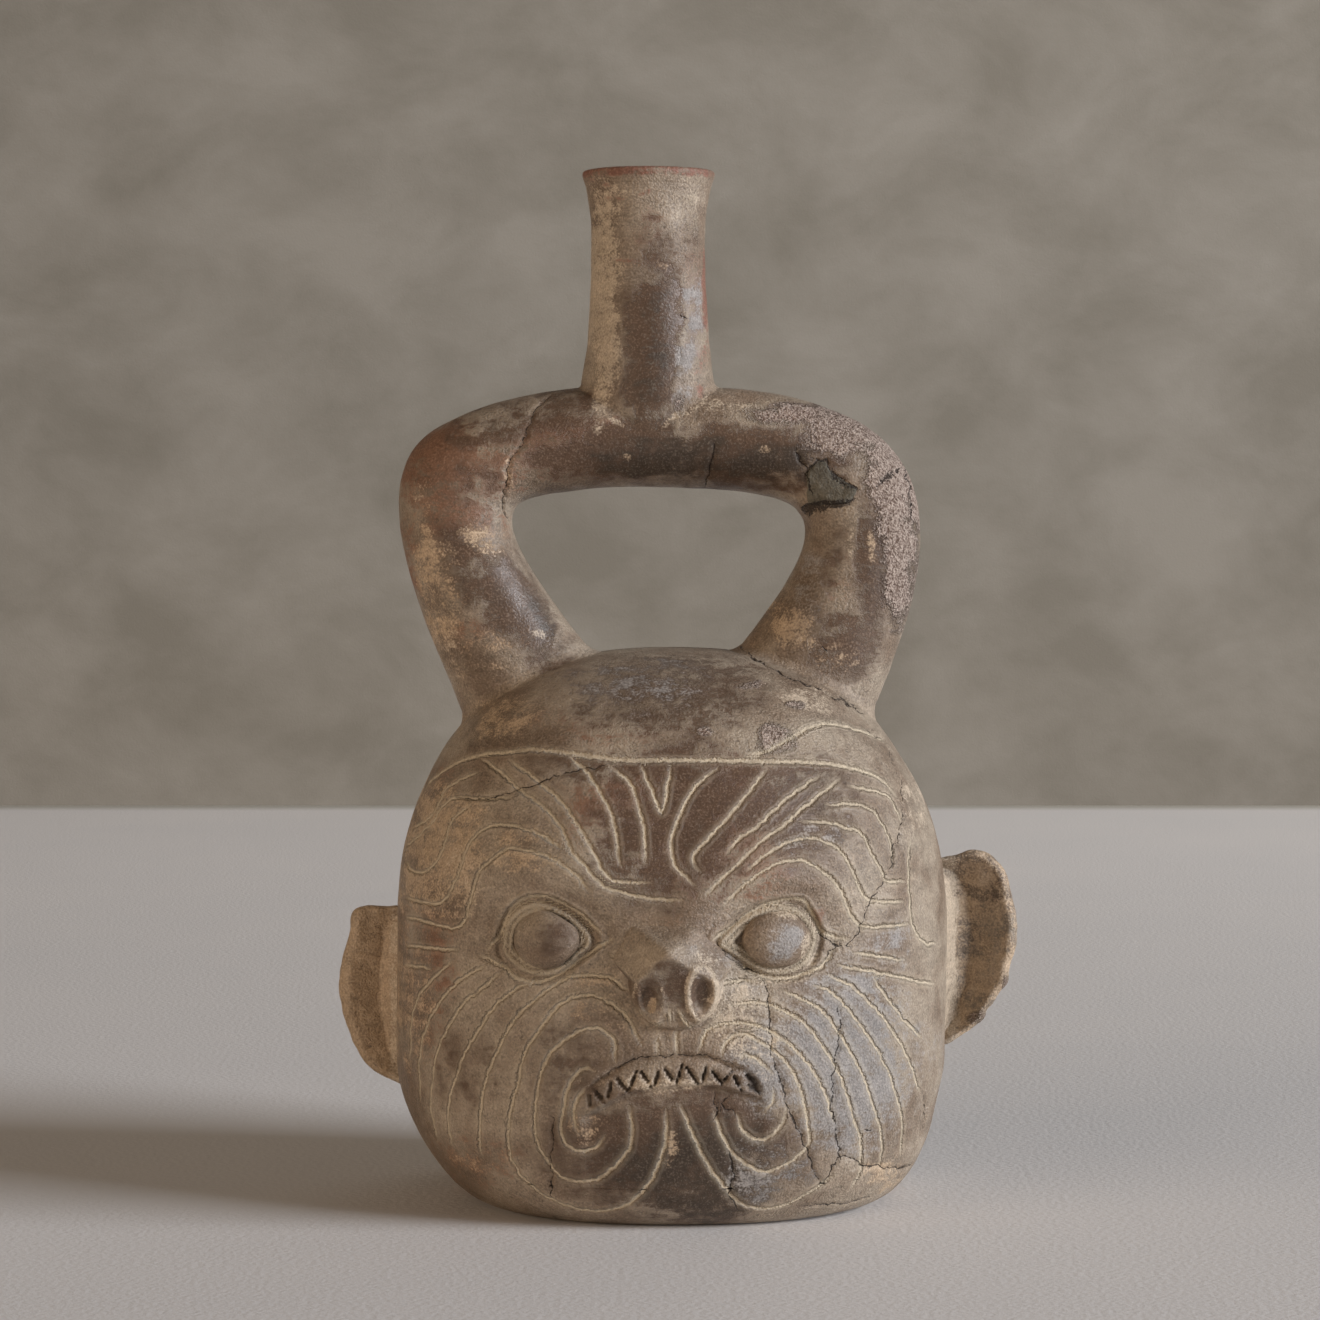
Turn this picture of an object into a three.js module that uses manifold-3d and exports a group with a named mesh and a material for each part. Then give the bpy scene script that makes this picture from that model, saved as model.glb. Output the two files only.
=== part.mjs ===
// Stirrup-spout bottle in the form of a monkey's head, hand-built in fired clay.
// The pieces are kept apart as the potter made them: two pressed half shells and a base dish for the
// chamber, rolled tubes for the stirrup, and applied ears, eyes and nose, all luted together with wet clay.
// Millimetres, +Z up. The face looks along -Y, +X is at the viewer's right, and the foot stands on z = 0.
import * as THREE from 'three';
import { mergeVertices } from 'three/addons/utils/BufferGeometryUtils.js';
import Module from 'manifold-3d';

const wasm = await Module();
wasm.setup();

// Head chamber
const headWidth = 131.6;
const headDepth = 126;
const headHeight = 131;
const footWidth = 88; // the flat that it stands on
const bellyHeight = 35; // the sides are upright from here
const shoulderHeight = 60; // up to here, where the dome begins
const domeSquareness = 2.5; // exponent of the superellipse that draws the dome
const planSquareness = 2.3; // exponent of the superellipse seen from above
const headWall = 5;
const floorThickness = 6;
const baseJointHeight = 10; // the base dish meets the shells here
const jointGap = 0.3; // dry clearance in every luted joint

// Luting clay, pressed into the corners outside and along the seams inside
const lutingSize = 1.8;
const seamCoilRadius = 2.6;

// Stirrup and spout. A tube is lofted between an inner and an outer rail, given as [x, z] Bezier points.
const tubeWall = 5;
const legDepth = 30;
const barDepth = 29;
const legRails = {
  left: {
    outer: [[-49.9, 115], [-73.8, 170], [-72.2, 184.8], [-30.8, 192.1]],
    inner: [[-18.9, 130.2], [-34.5, 148.4], [-40.7, 159.6], [-37.3, 164.6]],
  },
  right: {
    outer: [[48.4, 116], [69, 163.7], [61.9, 185.9], [22.4, 192.1]],
    inner: [[16.4, 131.3], [30.5, 148.9], [35.1, 158.7], [30.3, 163.7]],
  },
};
const barArch = { top: 194.6, bottom: 171.2 }; // height of the Bezier handles along the crossbar
const legRoot = 16; // how far a leg's loft runs on into the chamber, before it is trimmed
const spoutX = -5.6;
const spoutRadius = 14.3;
const spoutNeckRadius = 13.5;
const spoutNeckShare = 0.78; // the neck is narrowest this far up the spout
const spoutTop = 241;
const spoutWall = 4.3;
const lipHeight = 4;
const lipRadius = 15.9;

// Features of the face, at [x, z] on its front
const eyes = {
  left: { at: [-28.8, 67.5], halfWidth: 8.3, halfHeight: 7.4, turn: 0.3, tilt: 0.1 },
  right: { at: [24.1, 66.9], halfWidth: 8.3, halfHeight: 6.9, turn: -0.25, tilt: 0 },
};
const eyeBulge = 4.6; // how far an eye stands out of its socket
const eyeRoot = 2; // and how far behind the socket's floor its middle lies
const lids = { halfWidth: 14.2, halfHeight: 9.4, thickness: 1.5, point: 0.35 };
const socketDepth = 2.8;
const socketReach = [15.5, 11]; // half width and half height of a socket
const browHeight = 2.4;
const browLift = 15; // the brow runs this far above the middle of the eye
const muzzleHeight = 3;
const bridgeHeight = 2;
const nose = { at: [1.2, 59.5], halfWidth: 10, halfHeight: 11.5, reach: 12.5, taper: 0.4, lean: 3.4, root: 1 };
const nostrils = { spread: 5.9, drop: 2.6, halfWidth: 2, halfHeight: 3.4, depth: 5 };
const mouth = { left: [-18.8, 29.5], right: [19.2, 33.2], upperLip: 48.5, lowerLip: 39, depth: 2 };
const teeth = { cuts: 12, width: 2.4, depth: 1.4 };

// Ears. out is how far the rim stands out of the head's side, and z is the height of the ear's middle.
const ears = {
  left: { side: -1, out: 13.4, z: 47.7, halfHeight: 21.4, y: 3.5 },
  right: { side: 1, out: 17.1, z: 59.6, halfHeight: 23.2, y: 2.5 },
};
const earRoot = 5.8; // the middle of the ear's disc lies this far inside the head's side
const earThickness = 9;
const earCurl = 7; // the rim curls this far forward of the root
const earHollow = 3.4; // depth of the hollow in the ear's front

// Plug of fill where a sherd is lost at the right elbow, as corners [x, z] on the front of the tube
const fillCorners = [[33, 173.2], [37.4, 175], [44.2, 168.4], [33.8, 167.4]];

// Smoothness
const frontColumns = 36;
const rearColumns = 14;
const headRows = 32;
const tubeSides = 16;
const tubeSteps = 8;
const roundSides = 20;

const clay = new THREE.MeshStandardMaterial({ color: 0x84694f, roughness: 0.6, metalness: 0 });
const smokedClay = new THREE.MeshStandardMaterial({ color: 0x5f4c3f, roughness: 0.5, metalness: 0 });
const redClay = new THREE.MeshStandardMaterial({ color: 0x8a5346, roughness: 0.65, metalness: 0 });
const lutingClay = new THREE.MeshStandardMaterial({ color: 0xa58c6c, roughness: 0.8, metalness: 0 });
const greyFill = new THREE.MeshStandardMaterial({ color: 0x6f685c, roughness: 0.85, metalness: 0 });

const signedPower = (value, power) => Math.sign(value) * Math.abs(value) ** power;
const bell = (offset, reach) => Math.exp(-((offset / reach) ** 2));

// A closed geometry as a solid that faces out. Rings that shrink to a point leave flat triangles, which are dropped.
function solidOf(geometry) {
  const bare = geometry.clone();
  bare.deleteAttribute('normal');
  bare.deleteAttribute('uv');
  const merged = mergeVertices(bare, 1e-4);
  const corner = (index) => new THREE.Vector3().fromBufferAttribute(merged.attributes.position, index);
  const triangles = [];
  let volume = 0;
  for (let i = 0; i < merged.index.count; i += 3) {
    const [a, b, c] = [0, 1, 2].map((step) => merged.index.getX(i + step));
    if (a === b || b === c || c === a) continue;
    triangles.push(a, b, c);
    volume += corner(a).dot(corner(b).cross(corner(c))) / 6;
  }
  if (volume < 0) triangles.reverse();
  return new wasm.Manifold(new wasm.Mesh({
    numProp: 3,
    vertProperties: new Float32Array(merged.attributes.position.array),
    triVerts: new Uint32Array(triangles),
  }));
}

function geometryOf(solid) {
  const { vertProperties, triVerts } = solid.getMesh();
  const geometry = new THREE.BufferGeometry();
  geometry.setAttribute('position', new THREE.BufferAttribute(vertProperties, 3));
  geometry.setIndex(new THREE.BufferAttribute(triVerts, 1));
  return geometry;
}

// Moves every vertex of a geometry by a function that changes the vector it is given.
function reshape(geometry, change) {
  const places = geometry.getAttribute('position');
  const point = new THREE.Vector3();
  for (let i = 0; i < places.count; i++) {
    change(point.fromBufferAttribute(places, i));
    places.setXYZ(i, point.x, point.y, point.z);
  }
  return geometry;
}

function box(low, high) {
  const size = high.map((value, axis) => value - low[axis]);
  const middle = high.map((value, axis) => (value + low[axis]) / 2);
  return solidOf(new THREE.BoxGeometry(...size).translate(...middle));
}

function ellipsoid(centre, radii, turn = 0, sides = roundSides) {
  const ball = new THREE.SphereGeometry(1, sides, sides / 2).rotateX(Math.PI / 2);
  return solidOf(ball.scale(...radii).rotateZ(turn).translate(...centre));
}

// The head's upright outline, from the edge of its foot to the crown, drawn inset from the outside.
class HeadOutline extends THREE.Curve {
  constructor(inset) {
    super();
    this.halfWidth = headWidth / 2 - inset;
    this.foot = footWidth / 2 - inset;
    this.bottom = inset;
    this.rise = headHeight - shoulderHeight - inset;
  }

  getPoint(t, target = new THREE.Vector2()) {
    const [cornerEnd, sideEnd] = [0.25, 0.4]; // shares of the outline that the corner and the side take
    if (t < cornerEnd) {
      const angle = (t / cornerEnd) * (Math.PI / 2);
      const width = this.foot + (this.halfWidth - this.foot) * Math.sin(angle);
      return target.set(width, bellyHeight - (bellyHeight - this.bottom) * Math.cos(angle));
    }
    if (t < sideEnd) {
      const share = (t - cornerEnd) / (sideEnd - cornerEnd);
      return target.set(this.halfWidth, THREE.MathUtils.lerp(bellyHeight, shoulderHeight, share));
    }
    const angle = ((t - sideEnd) / (1 - sideEnd)) * (Math.PI / 2);
    const width = this.halfWidth * Math.max(0, Math.cos(angle)) ** (2 / domeSquareness);
    return target.set(width, shoulderHeight + this.rise * Math.sin(angle) ** (2 / domeSquareness));
  }

  // Half width at height z.
  widthAt(z) {
    if (z < bellyHeight) {
      const drop = (bellyHeight - z) / (bellyHeight - this.bottom);
      return this.foot + (this.halfWidth - this.foot) * Math.sqrt(Math.max(0, 1 - drop * drop));
    }
    const climb = Math.min(1, Math.max(0, z - shoulderHeight) / this.rise);
    return this.halfWidth * (1 - climb ** domeSquareness) ** (1 / domeSquareness);
  }
}

// How far the face stands proud of the plain head at [x, z].
function faceRelief(x, z) {
  let height = muzzleHeight * bell(x, 30) * bell(z - 38, 20);
  height += bridgeHeight * bell(x - nose.at[0] - nose.lean, 8) * bell(z - nose.at[1] - nose.halfHeight, 11);
  for (const { at } of Object.values(eyes)) {
    const [across, up] = [(x - at[0]) / socketReach[0], (z - at[1]) / socketReach[1]];
    height -= socketDepth * Math.exp(-((across * across + up * up) ** 2));
    height += browHeight * bell(x - at[0], 20) * bell(z - at[1] - browLift, 7);
  }
  return height;
}

// The face's y at [x, z]: the head's plan at that height, with the relief fading out towards the sides.
function frontY(x, z) {
  const width = new HeadOutline(0).widthAt(z);
  const rest = 1 - Math.min(1, Math.abs(x) / width) ** planSquareness;
  return -width * (headDepth / headWidth) * rest ** (1 / planSquareness) - faceRelief(x, z) * Math.sqrt(rest);
}

// Turns a round lathe into the head's plan: front columns are closer, and the face stands out of the front.
function shapeHead(geometry, front, rear, relief) {
  const total = front + rear;
  return reshape(geometry, (point) => {
    const radius = Math.hypot(point.x, point.y);
    const column = (Math.atan2(point.x, -point.y) / (2 * Math.PI)) * total;
    const half = front / 2;
    const angle = Math.abs(column) <= half
      ? (column / half) * (Math.PI / 2)
      : Math.sign(column) * (Math.PI / 2) * (1 + (Math.abs(column) - half) / (rear / 2));
    point.x = radius * signedPower(Math.sin(angle), 2 / planSquareness);
    point.y = -radius * (headDepth / headWidth) * signedPower(Math.cos(angle), 2 / planSquareness);
    if (relief && point.y < 0) point.y -= faceRelief(point.x, point.z) * Math.cos(angle);
  });
}

// Shares of the outline where a plain head has its rings: close in the corner and over the dome, none on the side.
const steps = (from, to, count) => Array.from({ length: count }, (_, i) => THREE.MathUtils.lerp(from, to, i / count));
const plainShares = [...steps(0, 0.25, 7), 0.25, ...steps(0.4, 1, 13)];

// The whole head as one solid, inset from its outer face, or grown where the inset is negative.
function headSolid(inset, { front = frontColumns, rear = rearColumns, relief = true } = {}) {
  const outline = new HeadOutline(inset);
  const rings = relief
    ? outline.getSpacedPoints(headRows).slice(0, -1)
    : plainShares.map((share) => outline.getPoint(share));
  const profile = [new THREE.Vector2(0, inset), ...rings, new THREE.Vector2(0, headHeight - inset)];
  const lathe = new THREE.LatheGeometry(profile, front + rear).rotateX(Math.PI / 2);
  return solidOf(shapeHead(lathe, front, rear, relief));
}

// A tube lofted through rings. Each ring is an ellipse from its near point to its far point, as deep as it says.
function loft(rings, sides = tubeSides) {
  const middles = rings.map(({ near, far }) => near.clone().add(far).multiplyScalar(0.5));
  const tube = new THREE.CylinderGeometry(1, 1, 1, sides, rings.length - 1);
  return solidOf(reshape(tube, (point) => {
    const step = Math.round((point.y + 0.5) * (rings.length - 1));
    const { near, far, depth } = rings[step];
    const across = far.clone().sub(near).multiplyScalar(0.5 * point.x);
    const next = Math.min(step, rings.length - 2);
    const along = middles[next + 1].clone().sub(middles[next]);
    const side = Math.sign(far.clone().sub(near).cross(along).y);
    const front = side * point.z * (depth / 2);
    point.copy(middles[step]).add(across);
    point.y += front;
  }));
}

const railPoint = ([x, z]) => new THREE.Vector3(x, 0, z);
const rail = (points) => new THREE.CubicBezierCurve3(...points.map(railPoint));

// Rings grown outwards, or shrunk inwards to leave a wall. A ring that lies aslant its rail moves further, so that
// the wall keeps its thickness.
function grownRings(rings, growth) {
  return rings.map(({ near, far, depth }, step) => {
    const [before, after] = [rings[Math.max(0, step - 1)], rings[Math.min(rings.length - 1, step + 1)]];
    const across = far.clone().sub(near).normalize();
    const move = (side) => {
      const along = after[side].clone().sub(before[side]).normalize();
      return across.clone().multiplyScalar(growth / Math.max(0.6, across.clone().cross(along).length()));
    };
    return { near: near.clone().sub(move('near')), far: far.clone().add(move('far')), depth: depth + 2 * growth };
  });
}

// The same rings with their ends pushed out along the tube, so that a cutter passes right through.
function pushedEnds(rings, push) {
  const last = rings.length - 1;
  const middle = ({ near, far }) => near.clone().add(far).multiplyScalar(0.5);
  return rings.map((ring, step) => {
    if (step > 0 && step < last) return ring;
    const inward = step === 0 ? 1 : last - 1;
    const shift = middle(ring).sub(middle(rings[inward])).setLength(push);
    return { ...ring, near: ring.near.clone().add(shift), far: ring.far.clone().add(shift) };
  });
}

// A leg runs from inside the chamber, out through the crown and round the elbow to the crossbar.
function legRings({ outer, inner }) {
  const [far, near] = [rail(outer), rail(inner)];
  const rings = [];
  for (let step = 0; step <= tubeSteps; step++) {
    const t = step / tubeSteps;
    const depth = THREE.MathUtils.lerp(legDepth, barDepth, t);
    rings.push({ near: near.getPoint(t), far: far.getPoint(t), depth });
  }
  const back = rings[0].near.clone().add(rings[0].far).sub(rings[1].near).sub(rings[1].far).setLength(legRoot);
  const root = { near: rings[0].near.clone().add(back), far: rings[0].far.clone().add(back), depth: legDepth };
  return [root, ...rings];
}

// The crossbar arches between the ends of the two legs, and stops short of each by the joint's gap.
function barRings() {
  const end = (points) => points[points.length - 1];
  const [left, right] = [legRails.left, legRails.right];
  const handle = (share, z) => {
    const x = THREE.MathUtils.lerp(end(left.outer)[0], end(right.outer)[0], share);
    return [x, z];
  };
  const far = rail([end(left.outer), handle(0.35, barArch.top), handle(0.65, barArch.top), end(right.outer)]);
  const near = rail([end(left.inner), handle(0.05, barArch.bottom), handle(0.95, barArch.bottom), end(right.inner)]);
  const gapShare = jointGap / far.getLength();
  const rings = [];
  for (let step = 0; step <= tubeSteps; step++) {
    const t = THREE.MathUtils.lerp(gapShare, 1 - gapShare, step / tubeSteps);
    rings.push({ near: near.getPoint(t), far: far.getPoint(t), depth: barDepth });
  }
  return rings;
}

// A turned solid round an upright axis at the spout, from [radius, height] points or a shape's own points.
function turned(points, sides = roundSides) {
  const lathe = new THREE.LatheGeometry(points.map(([radius, z]) => new THREE.Vector2(radius, z)), sides);
  return solidOf(lathe.rotateX(Math.PI / 2).translate(spoutX, 0, 0));
}

// A bead of luting clay in the corner where two solids meet: what lies within its size of both.
function lutingBead(grownFirst, grownSecond, firstWithGap, secondWithGap) {
  return grownFirst.intersect(grownSecond).subtract(firstWithGap).subtract(secondWithGap);
}

const largestBody = (solid) => solid.decompose().sort((a, b) => b.volume() - a.volume())[0];

const parts = new THREE.Group();

function addPart(name, solid, material) {
  const mesh = new THREE.Mesh(geometryOf(solid), material);
  mesh.name = name;
  parts.add(mesh);
}

// Stirrup tubes, before they are trimmed to the head
const leftRings = legRings(legRails.left);
const rightRings = legRings(legRails.right);
const crossbarRings = barRings();
const boreOf = (rings) => loft(pushedEnds(grownRings(rings, -tubeWall), 1));
const leftBore = boreOf(leftRings);
const rightBore = boreOf(rightRings);
const barBore = boreOf(crossbarRings);

// Chamber: two half shells over a base dish
const whole = headSolid(0);
const headWithGap = headSolid(-jointGap);
const headGrown = headSolid(-lutingSize);
const cavity = headSolid(headWall, { front: 18, relief: false })
  .subtract(box([-headWidth, -headDepth, 0], [headWidth, headDepth, floorThickness]));
const beyond = 2 * (headWidth + headHeight);
const aboveJoint = box([-beyond, -beyond, baseJointHeight + jointGap / 2], [beyond, beyond, beyond]);
const belowJoint = box([-beyond, -beyond, -beyond], [beyond, beyond, baseJointHeight - jointGap / 2]);
const frontHalf = box([-beyond, -beyond, -beyond], [beyond, -jointGap / 2, beyond]);
const rearHalf = box([-beyond, jointGap / 2, -beyond], [beyond, beyond, beyond]);

// Cuts an outline into the face, straight back from the front and as deep as it says.
function carving(outlines, depth) {
  const options = { depth: headDepth, bevelEnabled: false, curveSegments: 12 };
  const prism = new THREE.ExtrudeGeometry(outlines, options).rotateX(Math.PI / 2);
  return solidOf(prism).subtract(headSolid(depth));
}

const mouthMiddle = (mouth.left[0] + mouth.right[0]) / 2;
const lipCurve = (height) => new THREE.QuadraticBezierCurve(
  new THREE.Vector2(...mouth.left),
  new THREE.Vector2(mouthMiddle, height),
  new THREE.Vector2(...mouth.right),
);

function mouthOutline() {
  const outline = new THREE.Shape();
  outline.moveTo(...mouth.left);
  outline.quadraticCurveTo(mouthMiddle, mouth.lowerLip, ...mouth.right);
  outline.quadraticCurveTo(mouthMiddle, mouth.upperLip, ...mouth.left);
  return outline;
}

// Pointed notches along the recess, which leave the teeth standing between them.
function toothOutlines() {
  const [upper, lower] = [lipCurve(mouth.upperLip), lipCurve(mouth.lowerLip)];
  const outlines = [];
  for (let cut = 0; cut < teeth.cuts; cut++) {
    const t = THREE.MathUtils.lerp(0.16, 0.84, cut / (teeth.cuts - 1));
    const [top, bottom] = [upper.getPoint(t), lower.getPoint(t)];
    const tip = bottom.clone().lerp(top, 0.85);
    const side = new THREE.Vector2(teeth.width / 2, 0);
    const foot = bottom.clone().lerp(top, 0.12);
    outlines.push(new THREE.Shape([foot.clone().sub(side), foot.clone().add(side), tip]));
  }
  return outlines;
}

// The lids are an almond-shaped roll of clay round each eye, bedded on the face.
function lidRoll({ at, tilt }, growth) {
  const thickness = lids.thickness + growth;
  const ring = new THREE.TorusGeometry(1, 0.1, 6, 24);
  return solidOf(reshape(ring, (point) => {
    const angle = Math.atan2(point.y, point.x);
    const away = ((Math.hypot(point.x, point.y) - 1) / 0.1) * thickness;
    const out = (point.z / 0.1) * thickness;
    const across = Math.cos(angle) * (lids.halfWidth + away);
    const up = signedPower(Math.sin(angle), 1 + lids.point) * lids.halfHeight + Math.sin(angle) * away;
    const [x, z] = [at[0] + across - tilt * up, at[1] + up + tilt * across];
    point.set(x, frontY(x, z) - out, z);
  }));
}

const lidRolls = (growth) => lidRoll(eyes.left, growth).add(lidRoll(eyes.right, growth));
const hollowHead = whole.add(lidRolls(0)).subtract(cavity).subtract(leftBore).subtract(rightBore);
const face = hollowHead
  .subtract(carving(mouthOutline(), mouth.depth))
  .subtract(carving(toothOutlines(), mouth.depth + teeth.depth));
addPart('face_shell', largestBody(face.intersect(frontHalf).intersect(aboveJoint)), clay);
const plainHead = headSolid(0, { front: 20, relief: false });
const hollowRear = plainHead.subtract(cavity).subtract(leftBore).subtract(rightBore);
addPart('rear_shell', hollowRear.intersect(rearHalf).intersect(aboveJoint), clay);
addPart('base_dish', plainHead.subtract(cavity).intersect(belowJoint), clay);

// Stirrup
const legs = { left: [leftRings, leftBore], right: [rightRings, rightBore] };
const fillPrism = (growth) => {
  const middle = fillCorners.reduce(([x, z], corner) => [x + corner[0] / 4, z + corner[1] / 4], [0, 0]);
  const outline = new THREE.Shape(fillCorners.map(([x, z]) => {
    const away = new THREE.Vector2(x - middle[0], z - middle[1]);
    return away.setLength(away.length() + growth).add(new THREE.Vector2(...middle));
  }));
  const prism = new THREE.ExtrudeGeometry(outline, { depth: legDepth, bevelEnabled: false });
  return solidOf(prism.rotateX(Math.PI / 2));
};

for (const [side, [rings, bore]] of Object.entries(legs)) {
  const outside = loft(rings);
  let tube = outside.subtract(bore).subtract(headWithGap);
  if (side === 'right') {
    addPart('elbow_fill', largestBody(tube.intersect(fillPrism(0))), greyFill);
    tube = tube.subtract(fillPrism(jointGap * 1.5));
  }
  addPart(`${side}_leg`, largestBody(tube), smokedClay);
  const bead = lutingBead(loft(grownRings(rings, lutingSize)), headGrown, loft(grownRings(rings, jointGap)), headWithGap);
  addPart(`${side}_leg_luting`, largestBody(bead), lutingClay);
}

// Spout: a tapering tube on the crossbar, with a lip coil on top
const barMiddle = (barArch.top + barArch.bottom) / 2;
const spoutHeight = (share) => THREE.MathUtils.lerp(barMiddle, spoutTop, share);
const spoutSkin = (growth) => turned([
  [0, barMiddle],
  [spoutRadius + growth, barMiddle],
  [spoutRadius + growth, spoutHeight(spoutNeckShare * 0.45)],
  [THREE.MathUtils.lerp(spoutRadius, spoutNeckRadius, 0.7) + growth, spoutHeight(spoutNeckShare * 0.73)],
  [spoutNeckRadius + growth, spoutHeight(spoutNeckShare)],
  [spoutNeckRadius + 0.2 + growth, spoutHeight(spoutNeckShare * 1.12)],
  [spoutNeckRadius + 0.9 + growth, spoutTop],
  [0, spoutTop],
]);
const spoutBoreRadius = spoutNeckRadius - spoutWall;
const boreTop = spoutTop + 2 * lipHeight;
const spoutBore = turned([[0, barMiddle], [spoutBoreRadius, barMiddle], [spoutBoreRadius, boreTop], [0, boreTop]]);
const barOutside = loft(crossbarRings);
const barWithGap = loft(pushedEnds(grownRings(crossbarRings, jointGap), 1));
const barGrown = loft(grownRings(crossbarRings, lutingSize));
const aboveBar = box([-beyond, -beyond, barMiddle + 1.5], [beyond, beyond, beyond]);

addPart('crossbar', barOutside.subtract(barBore).subtract(spoutBore), smokedClay);
addPart('spout', largestBody(spoutSkin(0).subtract(spoutBore).subtract(barWithGap)), clay);
const spoutBead = lutingBead(spoutSkin(lutingSize), barGrown, spoutSkin(jointGap), barWithGap).intersect(aboveBar);
addPart('spout_luting', largestBody(spoutBead), lutingClay);

const lipBottom = spoutTop + jointGap;
addPart('spout_lip', turned([
  [spoutBoreRadius, lipBottom],
  [spoutNeckRadius + 1, lipBottom],
  [lipRadius - 0.5, lipBottom + lipHeight * 0.45],
  [lipRadius, lipBottom + lipHeight * 0.75],
  [lipRadius - 0.8, lipBottom + lipHeight],
  [spoutBoreRadius + 1.6, lipBottom + lipHeight * 0.95],
  [spoutBoreRadius + 0.4, lipBottom + lipHeight * 0.6],
  [spoutBoreRadius, lipBottom],
]), redClay);

// Ears: thick cupped discs, hollowed in front, with their roots trimmed to the head
function earSolid({ side, out, z, halfHeight, y }) {
  const halfWidth = out + earRoot;
  const rootX = headWidth / 2 - earRoot;
  const disc = new THREE.SphereGeometry(1, 20, 11).rotateX(Math.PI / 2);
  reshape(disc, (point) => {
    const thick = signedPower(point.y, 0.6) * (earThickness / 2);
    const curl = earCurl * point.x * point.x;
    point.set(side * (rootX + point.x * halfWidth), y + thick - curl, z + point.z * halfHeight);
  });
  const bowlX = side * (rootX + halfWidth * 0.5);
  const bowlRadii = [halfWidth * 0.42, earHollow * 2, halfHeight * 0.68];
  const bowl = ellipsoid([bowlX, y - earThickness / 2 - earCurl * 0.3 - earHollow, z], bowlRadii, side * 0.35);
  return solidOf(disc).subtract(bowl);
}

for (const [side, ear] of Object.entries(ears)) {
  const disc = earSolid(ear);
  addPart(`${side}_ear`, largestBody(disc.subtract(headWithGap)), clay);
}

// Eyes and nose, luted onto the face
const lidsWithGap = lidRolls(jointGap);
for (const [side, { at, halfWidth, halfHeight, turn }] of Object.entries(eyes)) {
  const centre = [at[0], frontY(...at) + eyeRoot, at[1]];
  const pellet = ellipsoid(centre, [halfWidth, eyeBulge + eyeRoot, halfHeight], -turn, 18);
  addPart(`${side}_eye`, largestBody(pellet.subtract(headWithGap).subtract(lidsWithGap)), smokedClay);
}

// One lump, broad over the nostrils and drawn up to a narrower, lower bridge.
function noseSolid() {
  const back = frontY(...nose.at) + nose.root;
  const ball = new THREE.SphereGeometry(1, 18, 12).rotateX(Math.PI / 2);
  reshape(ball, (point) => {
    const up = Math.max(0, point.z);
    const x = nose.at[0] + nose.lean * up + point.x * nose.halfWidth * (1 - nose.taper * up);
    point.set(x, back + point.y * nose.reach * (1 - nose.taper * up), nose.at[1] + point.z * nose.halfHeight);
  });
  let made = solidOf(ball);
  for (const side of [-1, 1]) {
    const [x, z] = [nose.at[0] + side * nostrils.spread, nose.at[1] - nostrils.drop];
    const hole = [nostrils.halfWidth, nostrils.depth, nostrils.halfHeight];
    made = made.subtract(ellipsoid([x, back - nose.reach * 0.8, z], hole, side * 0.5, 12));
  }
  return made.subtract(headWithGap).subtract(lidsWithGap);
}
addPart('nose', largestBody(noseSolid()), smokedClay);

// Coils of clay pressed along the inside of the seams
class SeamPath extends THREE.Curve {
  constructor(from, to) {
    super();
    this.outline = new HeadOutline(headWall + jointGap + seamCoilRadius);
    this.from = from;
    this.to = to;
  }

  getPoint(t, target = new THREE.Vector3()) {
    const along = THREE.MathUtils.lerp(this.from, this.to, t);
    const { x, y } = this.outline.getPoint(1 - Math.abs(along));
    return target.set(Math.sign(along) * x, 0, y);
  }
}

function seamCoil(from, to, steps) {
  const section = new THREE.Shape().absarc(0, 0, seamCoilRadius, 0, 2 * Math.PI);
  const options = { steps, bevelEnabled: false, curveSegments: 3, extrudePath: new SeamPath(from, to) };
  return solidOf(new THREE.ExtrudeGeometry(section, options));
}

addPart('left_seam_coil', seamCoil(-0.86, -0.42, 12), lutingClay);
addPart('right_seam_coil', seamCoil(0.42, 0.86, 12), lutingClay);
addPart('crown_seam_coil', seamCoil(-0.07, 0.06, 6), lutingClay);

function baseCoil() {
  const reach = new HeadOutline(headWall).widthAt(floorThickness) - seamCoilRadius;
  const height = floorThickness + jointGap + seamCoilRadius;
  const round = new THREE.EllipseCurve(reach, height, seamCoilRadius, seamCoilRadius);
  const lathe = new THREE.LatheGeometry(round.getPoints(6), 28).rotateX(Math.PI / 2);
  return solidOf(shapeHead(lathe, 14, 14, false));
}
addPart('base_coil', baseCoil(), lutingClay);

export default parts;
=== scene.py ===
import math
from functools import partial
import bmesh
import bpy
import numpy as np
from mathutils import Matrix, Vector, noise
from mathutils.bvhtree import BVHTree
from mathutils.kdtree import KDTree


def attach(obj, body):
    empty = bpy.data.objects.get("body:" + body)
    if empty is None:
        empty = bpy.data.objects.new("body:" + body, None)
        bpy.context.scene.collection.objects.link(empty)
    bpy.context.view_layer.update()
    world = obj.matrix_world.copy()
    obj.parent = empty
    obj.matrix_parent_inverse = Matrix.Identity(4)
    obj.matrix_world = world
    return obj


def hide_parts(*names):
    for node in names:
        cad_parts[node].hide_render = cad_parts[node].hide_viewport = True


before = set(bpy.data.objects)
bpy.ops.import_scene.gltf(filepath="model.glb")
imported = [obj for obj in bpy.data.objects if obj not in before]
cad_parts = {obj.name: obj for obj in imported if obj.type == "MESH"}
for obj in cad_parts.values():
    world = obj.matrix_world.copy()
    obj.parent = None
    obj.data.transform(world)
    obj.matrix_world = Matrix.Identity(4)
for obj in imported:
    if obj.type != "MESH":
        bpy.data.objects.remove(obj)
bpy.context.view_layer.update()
mm = 0.001  # shapes are worked out in millimetres and set in metres
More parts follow.
